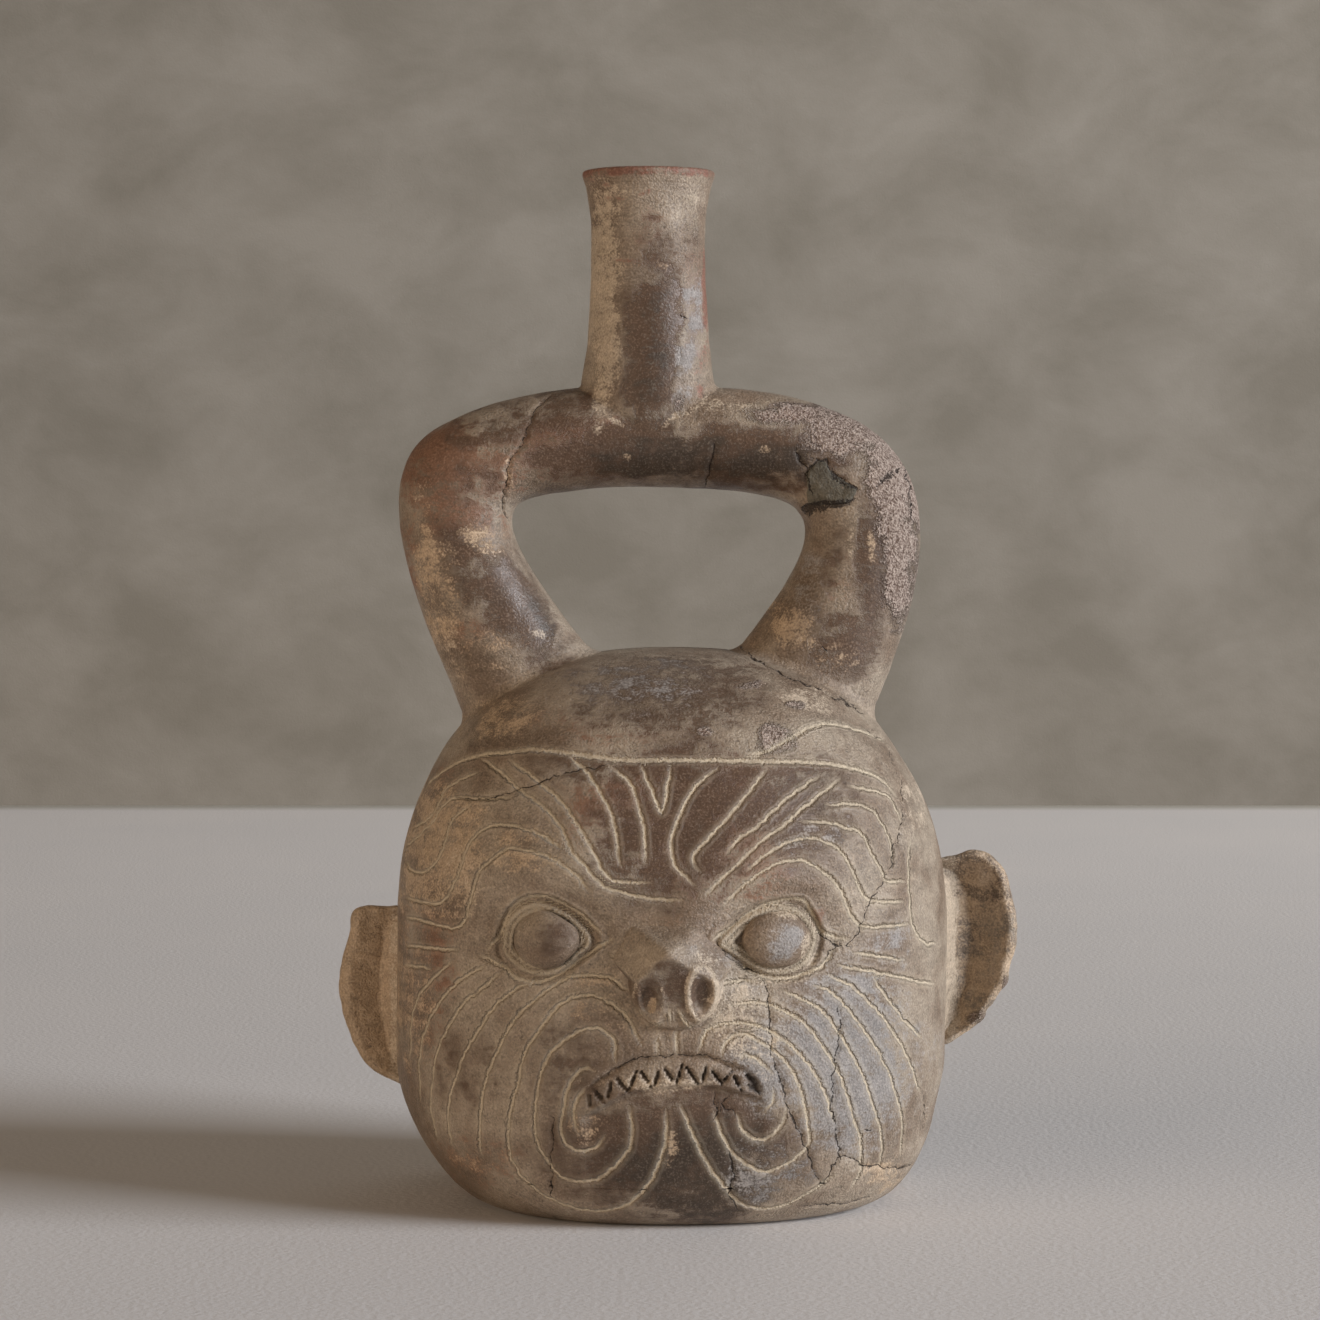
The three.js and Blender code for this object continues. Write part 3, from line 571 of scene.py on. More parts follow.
# how wide lines are, as shares of a plain one of 0.8 mm
lineWidths = {
    "hairline": 1.45, "lids": 1.15, "slits": 0.6, "corner": 1.2, "fillMouth": 4.8, "fillGap": 2.2,
    "fillEdge": 0.9, "bar": 0.35, "leftSeam": 0.32, "pits": 1.7, "lipCreaseShadow": 0.32, "lidShadow": 0.55,
    "temple": 0.35, "forehead": 0.28, "leftCheek": 0.35, "rightCheek": 0.5, "chin": 0.5,
}
# how deep and how far lines and cracks go in, in millimetres. ends: the share of a line left at its two ends;
# step and jagSize: pixels from point to point of a line, and from one break in it to the next
carving = {
    "depth": 0.36, "reach": 0.6, "widths": (0.8, 1.5), "crackDepth": 0.5, "crackReach": 0.5, "stray": 0.4,
    "ends": 0.3, "step": 0.7, "jagSize": 5,
}


class LineField:  # how far points lie from the nearest of some lines, and on which side of it
    def __init__(self, groups, tree, taper, jag=0.0):
        paths, ways, strengths, widths = [], [], [], []
        for group, lines in groups.items():
            for line in lines:
                pixels = smoothPath(line, carving["step"])
                grit = np.column_stack((pixels, np.zeros(len(pixels))))
                unevenness = np.stack([lumps(grit, carving["jagSize"], seed) for seed in (31, 32)], 1)
                width = lineWidths.get(group, 1.0)
                path = castOn(tree, pixels + jag / max(width, 1) * unevenness)
                along = alongTable(path)
                paths.append(path)
                ways.append(np.gradient(path, axis=0))
                fromEnd = np.minimum(along, along[-1] - along)
                ends = carving["ends"]
                strengths.append(np.clip(ends + (1 - ends) * fromEnd / taper, 0, 1))
                widths.append(np.full(len(path), width))
        self.spots, self.ways = np.vstack(paths), np.vstack(ways)
        self.ways = self.ways / np.maximum(np.linalg.norm(self.ways, axis=1), 1e-9)[:, None]
        self.strengths, self.widths = np.concatenate(strengths), np.concatenate(widths)
        self.tree = KDTree(len(self.spots))
        for index, spot in enumerate(self.spots):
            self.tree.insert(spot, index)
        self.tree.balance()

    def measure(self, points):  # distance, distance in line widths with a sign for the side, and strength
        found = [self.tree.find(point)[1:] for point in points]
        index = np.array([item[0] for item in found])
        near = np.array([item[1] for item in found])
        offset = points - self.spots[index]
        along = np.sum(offset * self.ways[index], axis=1)
        across = np.sqrt(np.maximum(near**2 - along**2, 0))
        across = np.where(np.abs(along) < carving["stray"], across, near)  # past an end, the end is near
        side = np.sign(np.sum(np.cross(self.ways[index], points - eyeSpot) * offset, axis=1))
        return near, side * across / self.widths[index], self.strengths[index]


grooveField = LineField(incised, smoothHead, taper=3.0, jag=1.3)
crackField = LineField(cracks, smoothBottle, taper=2.5, jag=3.2)
slitField = LineField({"slits": mouth["slits"], "corner": mouth["corner"]}, smoothHead, taper=1.5)
eyeRings = [outline + outline[:1] for outline in eyeOutlines.values()]
eyeField = LineField({"eyes": eyeRings}, smoothHead, taper=0.01)
upperLip = castOn(smoothHead, smoothPath(mouth["upperEdge"]))
lowerLip = castOn(smoothHead, smoothPath(mouth["lowerEdge"]))
print("lines laid on the bottle:", len(grooveField.spots) + len(crackField.spots), "points")


def mouthSteps(x, z):  # the lip, a rounded band of teeth, a thin ridge, and the chin set back under it
    top = np.interp(x, upperLip[:, 0], upperLip[:, 2])
    bottom = np.interp(x, lowerLip[:, 0], lowerLip[:, 2])
    start, end = upperLip[0, 0], upperLip[-1, 0]
    out, back = mouth["ends"]
    within = smoothStep(start - out, start + back, x) * smoothStep(end + out, end - back, x)
    share = np.clip((z - bottom) / np.maximum(top - bottom, 0.5), 0, 1)
    edge = mouth["bandEdge"]
    band = smoothStep(top + edge, top - edge, z) * smoothStep(bottom - edge, bottom + edge, z)
    roll = band * (mouth["bandRoll"] * np.sin(share * math.pi) - mouth["bandDepth"])
    lip = mouth["lipHeight"] * np.exp(-np.maximum(z - top, 0) / mouth["lipFade"]) * (z > top)
    ridge = mouth["ridgeHeight"] * bell(z - bottom, mouth["edgeReach"])
    crease = mouth["creaseDepth"] * bell(z - top, mouth["edgeReach"])
    under = np.exp(-np.maximum(bottom - z, 0) / mouth["chinFade"])
    low, deep = mouth["chinEdge"]
    chin = mouth["chinDepth"] * under * smoothStep(bottom - low, bottom - deep, z)
    return within * (roll + lip + (ridge - crease) - chin)


# Clay and stage materials. Colours are sRGB hex, sizes are real millimetres
def linear(hexColour):
    values = [int(hexColour[k:k + 2], 16) / 255 for k in (0, 2, 4)]
    return tuple(v / 12.92 if v <= 0.04045 else ((v + 0.055) / 1.055) ** 2.4 for v in values) + (1.0,)


def addNode(tree, kind, inputs=None, output=0, **settings):  # a node with its links or values
    made = tree.nodes.new("ShaderNode" + kind)
    for name, value in settings.items():
        setattr(made, name, value)
    for socket, source in (inputs or {}).items():
        if isinstance(source, bpy.types.NodeSocket):
            tree.links.new(source, made.inputs[socket])
        else:
            made.inputs[socket].default_value = source
    return made.outputs[output] if made.outputs else made


def scaleOf(size):  # a pattern's scale from the size of its grain
    return 1 / (size * mm)


def startMaterial(name):
    material = bpy.data.materials.new(name)
    material.use_nodes = True
    material.node_tree.nodes.clear()
    node = partial(addNode, material.node_tree)
    return material, node, node("TexCoord", output="Object")


# stains over the paste, each on top of the ones before it. Ash also carries painted sheen of the lamp, and
# cream carries painted highlights
stainColours = {
    "rust": "785743", "umber": "574436", "smoke": "42382f", "ashAndSheen": "88827d", "ochre": "b0997f",
    "cream": "b3a28d", "red": "7a5344",
}
# patterns in the clay: size of the grain in millimetres, detail and roughness
patterns = {
    "mottle": (17, 5.0, 0.6), "wear": (5.5, 9.0, 0.68), "streak": (4, 7.0, 0.68), "patch": (2.0, 4.0, 0.6),
    "fleck": (1.2, 3.0, 0.5), "grain": (0.5, 2.0, 0.5),
}
# what the clay looks like. Pairs say where a change starts and ends, and a third value says how far it goes
earthenware = {
    "light": "9c8d7b", "dark": "796756", "fleck": "cdbfad", "soot": "43372f", "line": "cbbba2",
    # crack: the dark of cracks, also painted shade in the gaps by the fill, along the lip's crease, round the
    # right eye, in the slits and in the nostrils
    "crack": "261d18", "crustLight": "bcaa9d", "crustDark": "69554a",
    "stretch": (0.22, 0.22, 1.0), "tones": (0.36, 0.64),
    "wornFrom": -2.2, "worn": {"wear": 1.5, "streak": 1.5, "patch": 0.8, "grain": 0.6}, "brokenTo": 0.4,
    "stainEdge": (0.28, 0.72, 0.95), "fleckEdge": (0.5, 0.7, 0.08), "pitEdge": (0.36, 0.27, 0.5),
    "toneFrom": -0.3, "tone": {"patch": 0.6, "streak": 0.9, "grain": 1.1},
    "crustEdge": (0.3, 0.75, 1.0), "crustMost": 0.9, "crustGrit": (0.62, 0.96), "crustFleck": 0.6,
    "ragged": {"line": 1.0, "crack": 1.5}, "raggedFrom": -0.32, "raggedGrain": 0.8, "nearest": (2.0, -1.5),
    "lineKept": (0.34, 0.56, 0.5), "lineEdge": (0.7, 0.28), "dustEdge": (2.4, 0.5, 0.2),
    "crackEdge": (0.5, 0.1, 0.85),
    "gloss": 0.39, "dull": 0.56, "sheenEdge": (0.35, 0.65), "specular": 0.34,
    "umberRough": -0.07, "ashAndSheenRough": 0.12, "dryRough": 0.4,
    "patchRise": 0.28, "grainRise": 0.22, "crustRise": 0.7, "umberSmooth": -0.65, "crackRise": -0.4,
    "hollow": (0.8, 0.2, -0.46), "burr": (1.7, 0.95, 0.14),
}


# Burnished earthenware, rubbed with a pebble before firing: mottled paste under a worn slip, a dull sheen,
# flecks of temper, and pale clay left in the cut lines
def makeClay(name, look):
    material, node, place = startMaterial(name)
    level = node("Mapping", {"Vector": place, "Scale": look["stretch"]})  # strokes go round the pot
    noises = {}
    for kind, (size, detail, rough) in patterns.items():
        grown = {"Scale": scaleOf(size), "Detail": detail, "Roughness": rough}
        noises[kind] = node("TexNoise", {"Vector": level if kind == "streak" else place, **grown})
    patch, fleck, grain = noises["patch"], noises["fleck"], noises["grain"]

    # paste and stains: wear and strokes of the pebble break up the edges of a stain
    low, high = look["tones"]
    base = node("MapRange", {0: noises["mottle"], 1: low, 2: high}, interpolation_type="SMOOTHSTEP")
    colour = node("Mix", {0: base, 6: linear(look["dark"]), 7: linear(look["light"])}, 2, data_type="RGBA")
    worn = look["wornFrom"]
    for kind, part in look["worn"].items():
        worn = node("Math", {0: noises[kind], 1: part, 2: worn}, operation="MULTIPLY_ADD")
    covers = {}
    for kind in (*stainColours, "crust"):
        share = node("Attribute", output="Fac", attribute_name=kind)
        broken = node("MapRange", {0: share, 1: 0.0, 2: look["brokenTo"]})
        marked = node("Math", {0: worn, 1: broken, 2: share}, operation="MULTIPLY_ADD")
        low, high, most = look["crustEdge" if kind == "crust" else "stainEdge"]
        cover = node("MapRange", {0: marked, 1: low, 2: high, 4: most}, interpolation_type="SMOOTHSTEP")
        covers[kind] = cover
    for kind, hexColour in stainColours.items():
        colour = node("Mix", {0: covers[kind], 6: colour, 7: linear(hexColour)}, 2, data_type="RGBA")

    # flecks of temper, pits, and a fine unevenness of tone
    for source, edge, hexColour in ((grain, "fleckEdge", look["fleck"]), (fleck, "pitEdge", look["soot"])):
        low, high, most = look[edge]
        share = node("MapRange", {0: source, 1: low, 2: high, 4: most}, interpolation_type="SMOOTHSTEP")
        colour = node("Mix", {0: share, 6: colour, 7: linear(hexColour)}, 2, data_type="RGBA")
    tone = look["toneFrom"]
    for kind, part in look["tone"].items():
        tone = node("Math", {0: noises[kind], 1: part, 2: tone}, operation="MULTIPLY_ADD")
    colour = node("HueSaturation", {"Value": tone, "Color": colour})

    # lime crust: grains that stand up from the skin
    crust = covers["crust"]
    low, high = look["crustGrit"]
    grit = node("Math", {0: fleck, 1: look["crustFleck"], 2: grain}, operation="MULTIPLY_ADD")
    grit = node("MapRange", {0: grit, 1: low, 2: high})
    lime = {6: linear(look["crustDark"]), 7: linear(look["crustLight"])}
    crusty = node("Mix", {0: grit, **lime}, 2, data_type="RGBA")
    thin = node("Math", {0: crust, 1: look["crustMost"]}, operation="MULTIPLY")
    colour = node("Mix", {0: thin, 6: colour, 7: crusty}, 2, data_type="RGBA")

    # cut lines and cracks: how far off they are, in line widths, and no nearer than the true distance allows
    gaps = []
    slope, start = look["nearest"]
    for kind, rag in look["ragged"].items():
        side = node("Attribute", output="Fac", attribute_name=kind + "Side")
        near = node("Attribute", output="Fac", attribute_name=kind + "Near")
        off = node("Math", {0: side}, operation="ABSOLUTE")
        least = node("Math", {0: near, 1: slope, 2: start}, operation="MULTIPLY_ADD")
        gap = node("Math", {0: off, 1: least}, operation="MAXIMUM")
        rough = node("Math", {0: patch, 1: rag, 2: look["raggedFrom"] - rag / 2}, operation="MULTIPLY_ADD")
        rough = node("Math", {0: grain, 1: look["raggedGrain"], 2: rough}, operation="MULTIPLY_ADD")
        gaps.append(node("Math", {0: gap, 1: rough}, operation="ADD"))
    lineGap, crackGap = gaps
    fill = node("Attribute", output="Fac", attribute_name="lineFill")
    low, high, least = look["lineKept"]
    kept = node("MapRange", {0: patch, 1: low, 2: high, 3: least, 4: 1.0}, interpolation_type="SMOOTHSTEP")
    kept = node("Math", {0: kept, 1: fill}, operation="MULTIPLY")
    far, near = look["lineEdge"]
    inLine = node("MapRange", {0: lineGap, 1: far, 2: near}, interpolation_type="SMOOTHSTEP")
    deposit = node("Math", {0: inLine, 1: kept}, operation="MULTIPLY")
    shapes = {}
    for kind, gap in (("dustEdge", lineGap), ("crackEdge", crackGap), ("hollow", lineGap), ("burr", lineGap)):
        far, near, most = look[kind]
        shapes[kind] = node("MapRange", {0: gap, 1: far, 2: near, 4: most}, interpolation_type="SMOOTHSTEP")
    dust = node("Math", {0: shapes["dustEdge"], 1: kept}, operation="MULTIPLY")
    pale = node("Math", {0: deposit, 1: dust}, operation="MAXIMUM")
    colour = node("Mix", {0: pale, 6: colour, 7: linear(look["line"])}, 2, data_type="RGBA")
    # dark: cracks, and painted shade in the gaps by the fill, along the lip's crease, round the right eye, in
    # the slits and in the nostrils
    inCrack = shapes["crackEdge"]
    cutShade = node("Attribute", output="Fac", attribute_name="cutShade")
    dark = node("Math", {0: inCrack, 1: cutShade}, operation="MAXIMUM")
    colour = node("Mix", {0: dark, 6: colour, 7: linear(look["crack"])}, 2, data_type="RGBA")

    # sheen: dark slip is rubbed to a shine, ash, crust and deposit are dull
    dry = node("Math", {0: crust, 1: pale}, operation="MAXIMUM")
    low, high = look["sheenEdge"]
    rough = node("MapRange", {0: noises["wear"], 1: low, 2: high, 3: look["gloss"], 4: look["dull"]})
    for share, kind in ((covers["umber"], "umberRough"), (covers["ashAndSheen"], "ashAndSheenRough"), (dry, "dryRough")):
        rough = node("Math", {0: share, 1: look[kind], 2: rough}, operation="MULTIPLY_ADD")

    # relief, in millimetres
    rise = node("Math", {0: crust, 1: look["crustRise"], 2: look["grainRise"]}, operation="MULTIPLY_ADD")
    skin = 0.0
    for source, share in ((patch, look["patchRise"]), (fleck, rise), (grain, rise)):
        skin = node("Math", {0: source, 1: share, 2: skin}, operation="MULTIPLY_ADD")
    smooth = node("Math", {0: covers["umber"], 1: look["umberSmooth"], 2: 1.0}, operation="MULTIPLY_ADD")
    smooth = node("Math", {0: smooth, 1: crust}, operation="MAXIMUM")
    skin = node("Math", {0: skin, 1: smooth}, operation="MULTIPLY")
    for source, share in ((shapes["hollow"], fill), (shapes["burr"], fill), (inCrack, look["crackRise"])):
        skin = node("Math", {0: source, 1: share, 2: skin}, operation="MULTIPLY_ADD")
    bump = node("Bump", {"Strength": 1.0, "Distance": mm, "Height": skin})
    sheen = {"Roughness": rough, "Specular IOR Level": look["specular"]}
    shader = node("BsdfPrincipled", {"Base Color": colour, "Normal": bump, **sheen})
    node("OutputMaterial", {"Surface": shader})
    return material


burnishedClay = makeClay("burnished_earthenware", earthenware)
lutingLook = {"light": "a0907e", "dark": "7e6c5a", "gloss": 0.42, "dull": 0.62}
lutingClay = makeClay("luting_slip_clay", {**earthenware, **lutingLook})
redSlip = makeClay("red_slip_clay", {**earthenware, "gloss": 0.42, "dull": 0.65})
mortarLook = {"light": "6f695c", "dark": "544e43", "fleck": "857d6d", "gloss": 0.75, "dull": 0.92}
fillMortar = makeClay("grey_fill_mortar", {**earthenware, **mortarLook})

# Stains, and painted sheen, highlights and shade laid with them: middle and reach in pixels, strength,
# and a turn in degrees where it matters
stains = {
    "rust": [
        (440, 460, 60, 60, 0.85), (485, 470, 60, 56, 0.62), (470, 525, 50, 40, 0.6),
        (410, 570, 20, 90, 0.5), (515, 440, 30, 40, 0.5), (480, 640, 50, 40, 0.4), (520, 720, 70, 30, 0.2),
        (470, 1165, 80, 40, 0.4), (660, 912, 70, 20, 0.25), (620, 800, 40, 40, 0.35),
        (690, 300, 14, 80, 0.5), (655, 330, 34, 90, 0.7), (590, 448, 90, 40, 0.85),
        (840, 600, 40, 60, 0.35), (760, 468, 70, 34, 0.75), (690, 822, 120, 76, 0.95),
        (680, 1150, 110, 60, 0.4), (430, 775, 50, 30, 0.4), (425, 970, 46, 120, 0.45),
        (815, 915, 12, 14, 0.6), (610, 728, 120, 24, 0.35), (641, 224, 18, 28, 0.4),
        (692, 320, 12, 60, 0.55), (480, 555, 40, 50, 0.4, -25),
    ],
    "umber": [
        (652, 345, 32, 110, 1.0), (655, 425, 34, 26, 0.9), (641, 224, 16, 26, 0.36),
        (620, 455, 95, 34, 0.95), (740, 462, 90, 42, 1.0), (560, 415, 60, 26, 0.6),
        (500, 425, 60, 28, 0.6), (486, 572, 34, 56, 0.76, -30), (492, 482, 26, 40, 0.45),
        (515, 600, 36, 80, 1.0, -35), (468, 480, 26, 40, 0.45), (570, 645, 24, 24, 0.5),
        (830, 450, 60, 46, 0.7), (868, 565, 28, 80, 0.85), (830, 645, 54, 40, 0.68),
        (822, 560, 14, 50, 0.4, 15), (665, 692, 125, 44, 0.66), (560, 715, 70, 30, 0.2),
        (695, 815, 70, 84, 0.86), (640, 850, 64, 66, 0.74), (560, 800, 70, 40, 0.25),
        (640, 772, 120, 26, 0.58), (785, 805, 84, 62, 0.68), (470, 1060, 70, 90, 0.34),
        (570, 1060, 60, 70, 0.46), (560, 1170, 80, 40, 0.34), (550, 940, 24, 20, 0.5),
        # the mark at 985, 930 is painted shade in the right ear's hollow, over darker clay
        (680, 1150, 130, 70, 1.0), (985, 930, 18, 60, 0.5), (500, 560, 30, 60, 0.5, -35),
        (838, 467, 20, 10, 0.9), (800, 402, 44, 8, 0.8), (851, 535, 7, 36, 0.7),
    ],
    "smoke": [
        (675, 462, 90, 28, 0.75), (665, 668, 80, 22, 0.3), (700, 1165, 110, 54, 0.72),
        (655, 345, 22, 90, 0.45), (695, 850, 30, 30, 0.3), (780, 1180, 60, 24, 0.45),
        # the mark at 985, 900 is painted shade in the right ear's hollow; the thin one at 552, 1222 darkens
        # the foot along the table
        (552, 1222, 20, 6, 0.5), (985, 900, 10, 40, 0.4), (775, 470, 60, 24, 0.8),
        (545, 610, 14, 60, 0.5, -35),
    ],
    "ashAndSheen": [
        # ash: a grey bloom, and also painted sheen of the lamp on the lit right cheek, the right eye, the
        # nose's right roof, the crown, the spout's right side and the streaks down both legs
        (850, 1060, 80, 100, 0.8), (760, 1055, 44, 60, 0.74), (800, 840, 80, 50, 0.3),
        (782, 935, 26, 24, 0.55), (1003, 930, 10, 70, 0.4), (770, 1170, 60, 40, 0.5),
        (890, 950, 40, 60, 0.4), (535, 590, 12, 50, 0.25), (710, 955, 40, 24, 0.45),
        (740, 1000, 30, 40, 0.5), (640, 688, 100, 30, 0.45), (520, 715, 50, 30, 0.3),
        (800, 600, 20, 60, 0.45), (690, 340, 16, 100, 0.5),
    ],
    "ochre": [
        (486, 534, 24, 15, 0.55), (864, 550, 7, 22, 0.6), (882, 1172, 30, 16, 0.6), (627, 458, 5, 4, 0.6),
        (768, 456, 7, 7, 0.5), (434, 590, 18, 90, 0.48), (500, 655, 40, 30, 0.45),
        (785, 628, 26, 26, 0.66), (820, 660, 40, 24, 0.3), (440, 850, 60, 80, 0.7),
        (470, 1165, 60, 30, 0.3), (505, 722, 50, 30, 0.45), (452, 600, 22, 60, 0.42),
        # the small mark at 655, 1001 is a painted highlight on the lit inner wall of the left nostril
        (520, 850, 60, 40, 0.42), (590, 1000, 70, 50, 0.35), (655, 1001, 4, 9, 0.8),
        (405, 980, 30, 100, 0.46), (515, 480, 8, 40, 0.4), (860, 880, 30, 30, 0.3),
        (640, 262, 40, 12, 0.3), (590, 1120, 24, 40, 0.35), (672, 1140, 7, 26, 0.5),
        (605, 300, 16, 90, 0.4),
    ],
    "cream": [
        # cream: pale clay, and also painted highlights: on the lit rims of the right eye's lids (808, 946;
        # 768, 974; 780, 908), on the nose's right roof (706, 956) and as a streak down the right leg (841,
        # 540)
        (602, 300, 18, 120, 1.0), (735, 1010, 30, 44, 0.55), (808, 946, 9, 26, 0.75),
        (768, 974, 38, 6, 0.7, 8), (780, 908, 30, 5, 0.6), (706, 956, 20, 16, 0.5),
        (762, 1040, 40, 50, 0.34), (610, 195, 26, 14, 0.42), (610, 411, 34, 6, 0.5, 37),
        (692, 410, 30, 6, 0.62, -39), (841, 540, 5, 22, 0.55, 8), (740, 402, 44, 9, 0.5),
        (428, 492, 14, 18, 0.5), (545, 633, 14, 8, 0.42), (800, 700, 60, 22, 0.4, 25),
        (905, 640, 12, 50, 0.4), (690, 210, 14, 36, 0.4), (915, 800, 20, 50, 0.4),
        (668, 1072, 90, 12, 0.5), (460, 650, 26, 30, 0.4), (470, 880, 60, 60, 0.32),
    ],
    "red": [(704, 300, 5, 50, 0.85), (706, 330, 6, 90, 0.4), (612, 202, 20, 4, 0.42, -4),
            (643, 193, 18, 4, 0.42, -28), (625, 256, 28, 4, 0.4), (398, 520, 10, 70, 0.5),
            (600, 188, 16, 6, 0.4), (1003, 985, 8, 16, 0.4), (790, 415, 40, 10, 0.5)],
    "crust": [
        (852, 436, 50, 32, 1.1), (893, 490, 32, 62, 1.15), (798, 412, 56, 18, 0.85),
        (770, 740, 17, 13, 0.9), (794, 710, 10, 7, 0.7), (717, 727, 10, 7, 0.7), (750, 690, 12, 6, 0.6),
        (898, 570, 22, 64, 1.05), (1005, 985, 8, 14, 0.6), (980, 1022, 14, 8, 0.6),
        (690, 400, 10, 20, 0.45), (688, 235, 18, 60, 0.3),
    ],
}
# how stains lie. warp: how far in pixels they stray from round, over how many millimetres, and a seed; rear:
# how strong they are on the unseen rear, and where they fade; edge: where in its reach one ends and is full
staining = {"warp": [(18, 24, 11), (7, 7, 13)], "rear": 0.75, "rearFade": (0, 30), "edge": (1.6, 0.2)}


def paint(piece, spots, strongest, more):  # the share of each stain at each vertex
    pixels = pixelsOf(spots)
    for far, size, seed in staining["warp"]:
        pixels = pixels + far * np.stack((lumps(spots, size, seed), lumps(spots, size, seed + 1)), 1)
    faint = 1 - (1 - staining["rear"]) * smoothStep(*staining["rearFade"], spots[:, 1])
    for kind, marks in stains.items():
        share = more.get(kind, np.zeros(len(spots)))
        for u, v, reachU, reachV, strength, *turn in marks:
            angle = math.radians(turn[0]) if turn else 0
            du, dv = pixels[:, 0] - u, pixels[:, 1] - v
            across = (du * math.cos(angle) + dv * math.sin(angle)) / reachU
            along = (dv * math.cos(angle) - du * math.sin(angle)) / reachV
            mark = strength * smoothStep(*staining["edge"], np.hypot(across, along))
            share = np.maximum(share, mark * faint * strongest)
        keepValues(piece, kind, share)


# what darkens the slits and nostrils here is painted shade, laid with the dark of cracks
def finishClay(piece, spots, line=None, cutShade=0.0, strongest=1.0, **more):  # all that the clay reads
    lineNear, lineSide, lineFill = line or grooveField.measure(spots)
    crackNear, crackSide, crackFill = crackField.measure(spots)
    values = {"lineNear": lineNear, "lineSide": lineSide, "lineFill": lineFill, "crackNear": crackNear}
    values.update({"crackSide": crackSide / crackFill, "cutShade": np.broadcast_to(cutShade, len(spots))})
    for name, value in values.items():
        keepValues(piece, name, value)
    paint(piece, spots, strongest, more)
    piece.data.attributes.remove(piece.data.attributes["way"])
    print("made", piece.name, len(piece.data.polygons), "faces")


handWork = {"swell": 0.7, "swellSize": 38, "ripple": 0.16, "rippleSize": 7}


def handMade(spots):  # how far the hand-worked skin of the head stands off the plain form
    swell = handWork["swell"] * lumps(spots, handWork["swellSize"], 1)
    return swell + handWork["ripple"] * lumps(spots, handWork["rippleSize"], 2)


def swellHead(spots):
    return spots + headWays(spots) * handMade(spots)[:, None]


def carved(spots):  # how far cut lines and cracks go into the skin
    lineNear, lineSide, lineFill = grooveField.measure(spots)
    crackNear, crackFill = crackField.measure(spots)[::2]
    lineWidth = np.clip(np.abs(lineNear / np.maximum(np.abs(lineSide), 1e-6)), *carving["widths"])
    groove = carving["depth"] * lineFill * bell(lineNear, carving["reach"] * lineWidth)
    return groove + carving["crackDepth"] * crackFill * bell(crackNear, carving["crackReach"])


def closeShell(bm):  # joins the open borders of an outer and an inner sheet
    bmesh.ops.remove_doubles(bm, verts=bm.verts, dist=1e-6)
    rims = [edge for edge in bm.edges if edge.is_boundary]
    for edge in rims:
        edge.smooth = False
    bmesh.ops.bridge_loops(bm, edges=rims)


shellSheets = {"face": (384, 244), "rear": (200, 130), "inner": (40, 24)}  # columns and rows


def makeShell(name, outerPlace, rear):  # a half of the head: its skin and its inner wall
    def innerPlace(s, t):
        widths, heights = outlineAt(inside, t, head["joint"])
        return headSpots(s, widths, heights, False, rear)

    bm = bmesh.new()
    addSheet(bm, *shellSheets[name], outerPlace)
    addSheet(bm, *shellSheets["inner"], innerPlace)
    closeShell(bm)
    return makePiece(name, bm, name + "_shell", burnishedClay)


# lids round an eye. rings: how far from its edge, height and reach. Pale clay lies on the first one's crest
eyeLids = {
    "rings": [(0.7, 1.1, 0.6), (2.1, -0.6, 0.6), (3.7, 0.6, 0.9)], "pale": 0.7, "paleWidth": 1.5, "toY": -20,
}


def makeFace():
    piece = makeShell("face", facePlace, False)
    spots, normals, ways = spotsOf(piece), normalsOf(piece), waysOf(piece)
    skin = np.linalg.norm(ways, axis=1) > 0
    slitSide, slitFill = slitField.measure(spots)[1:]
    slit = smoothStep(*mouth["slitEdge"], np.abs(slitSide) / slitFill) * skin
    eyeNear = eyeField.measure(spots)[0]
    lids = sum(height * bell(eyeNear - at, reach) for at, height, reach in eyeLids["rings"])
    front = skin * (spots[:, 1] < eyeLids["toY"])
    inward = (carved(spots) + mouth["slitDepth"] * slit) * skin
    forward = (mouthSteps(spots[:, 0], spots[:, 2]) + lids) * front
    moved = spots - normals * inward[:, None] - np.array((0, 1, 0)) * forward[:, None]
    moveTo(piece, moved + ways * handMade(spots)[:, None])
    lineNear, lineSide, lineFill = grooveField.measure(spots)
    crestOff = np.abs(eyeNear - eyeLids["rings"][0][0])
    onCrest = crestOff < lineNear
    lineSide = np.where(onCrest, crestOff / eyeLids["paleWidth"], lineSide)
    lineFill = np.where(onCrest, eyeLids["pale"], lineFill)
    line = (np.minimum(crestOff, lineNear), lineSide, lineFill)
    finishClay(piece, spots, line, slit * mouth["slitShade"])


def makeRear():
    piece = makeShell("rear", rearPlace, True)
    spots = spotsOf(piece)
    moveTo(piece, spots + waysOf(piece) * handMade(spots)[:, None])
    finishClay(piece, spots)


def joinRows(*parts):  # the rows of a profile, each part spread evenly, and the rows where parts meet
    rows, corners = [], []
    for points, count in parts:
        spread = evenly(points, count + 1)
        rows.extend(spread if not rows else spread[1:])
        corners.append(len(rows) - 1)
    return np.array(rows), corners[:-1]


base = {"thickness": 6, "columns": 440, "floorRows": 12, "skinRows": 44, "edgeRows": 3, "wallRows": 6}


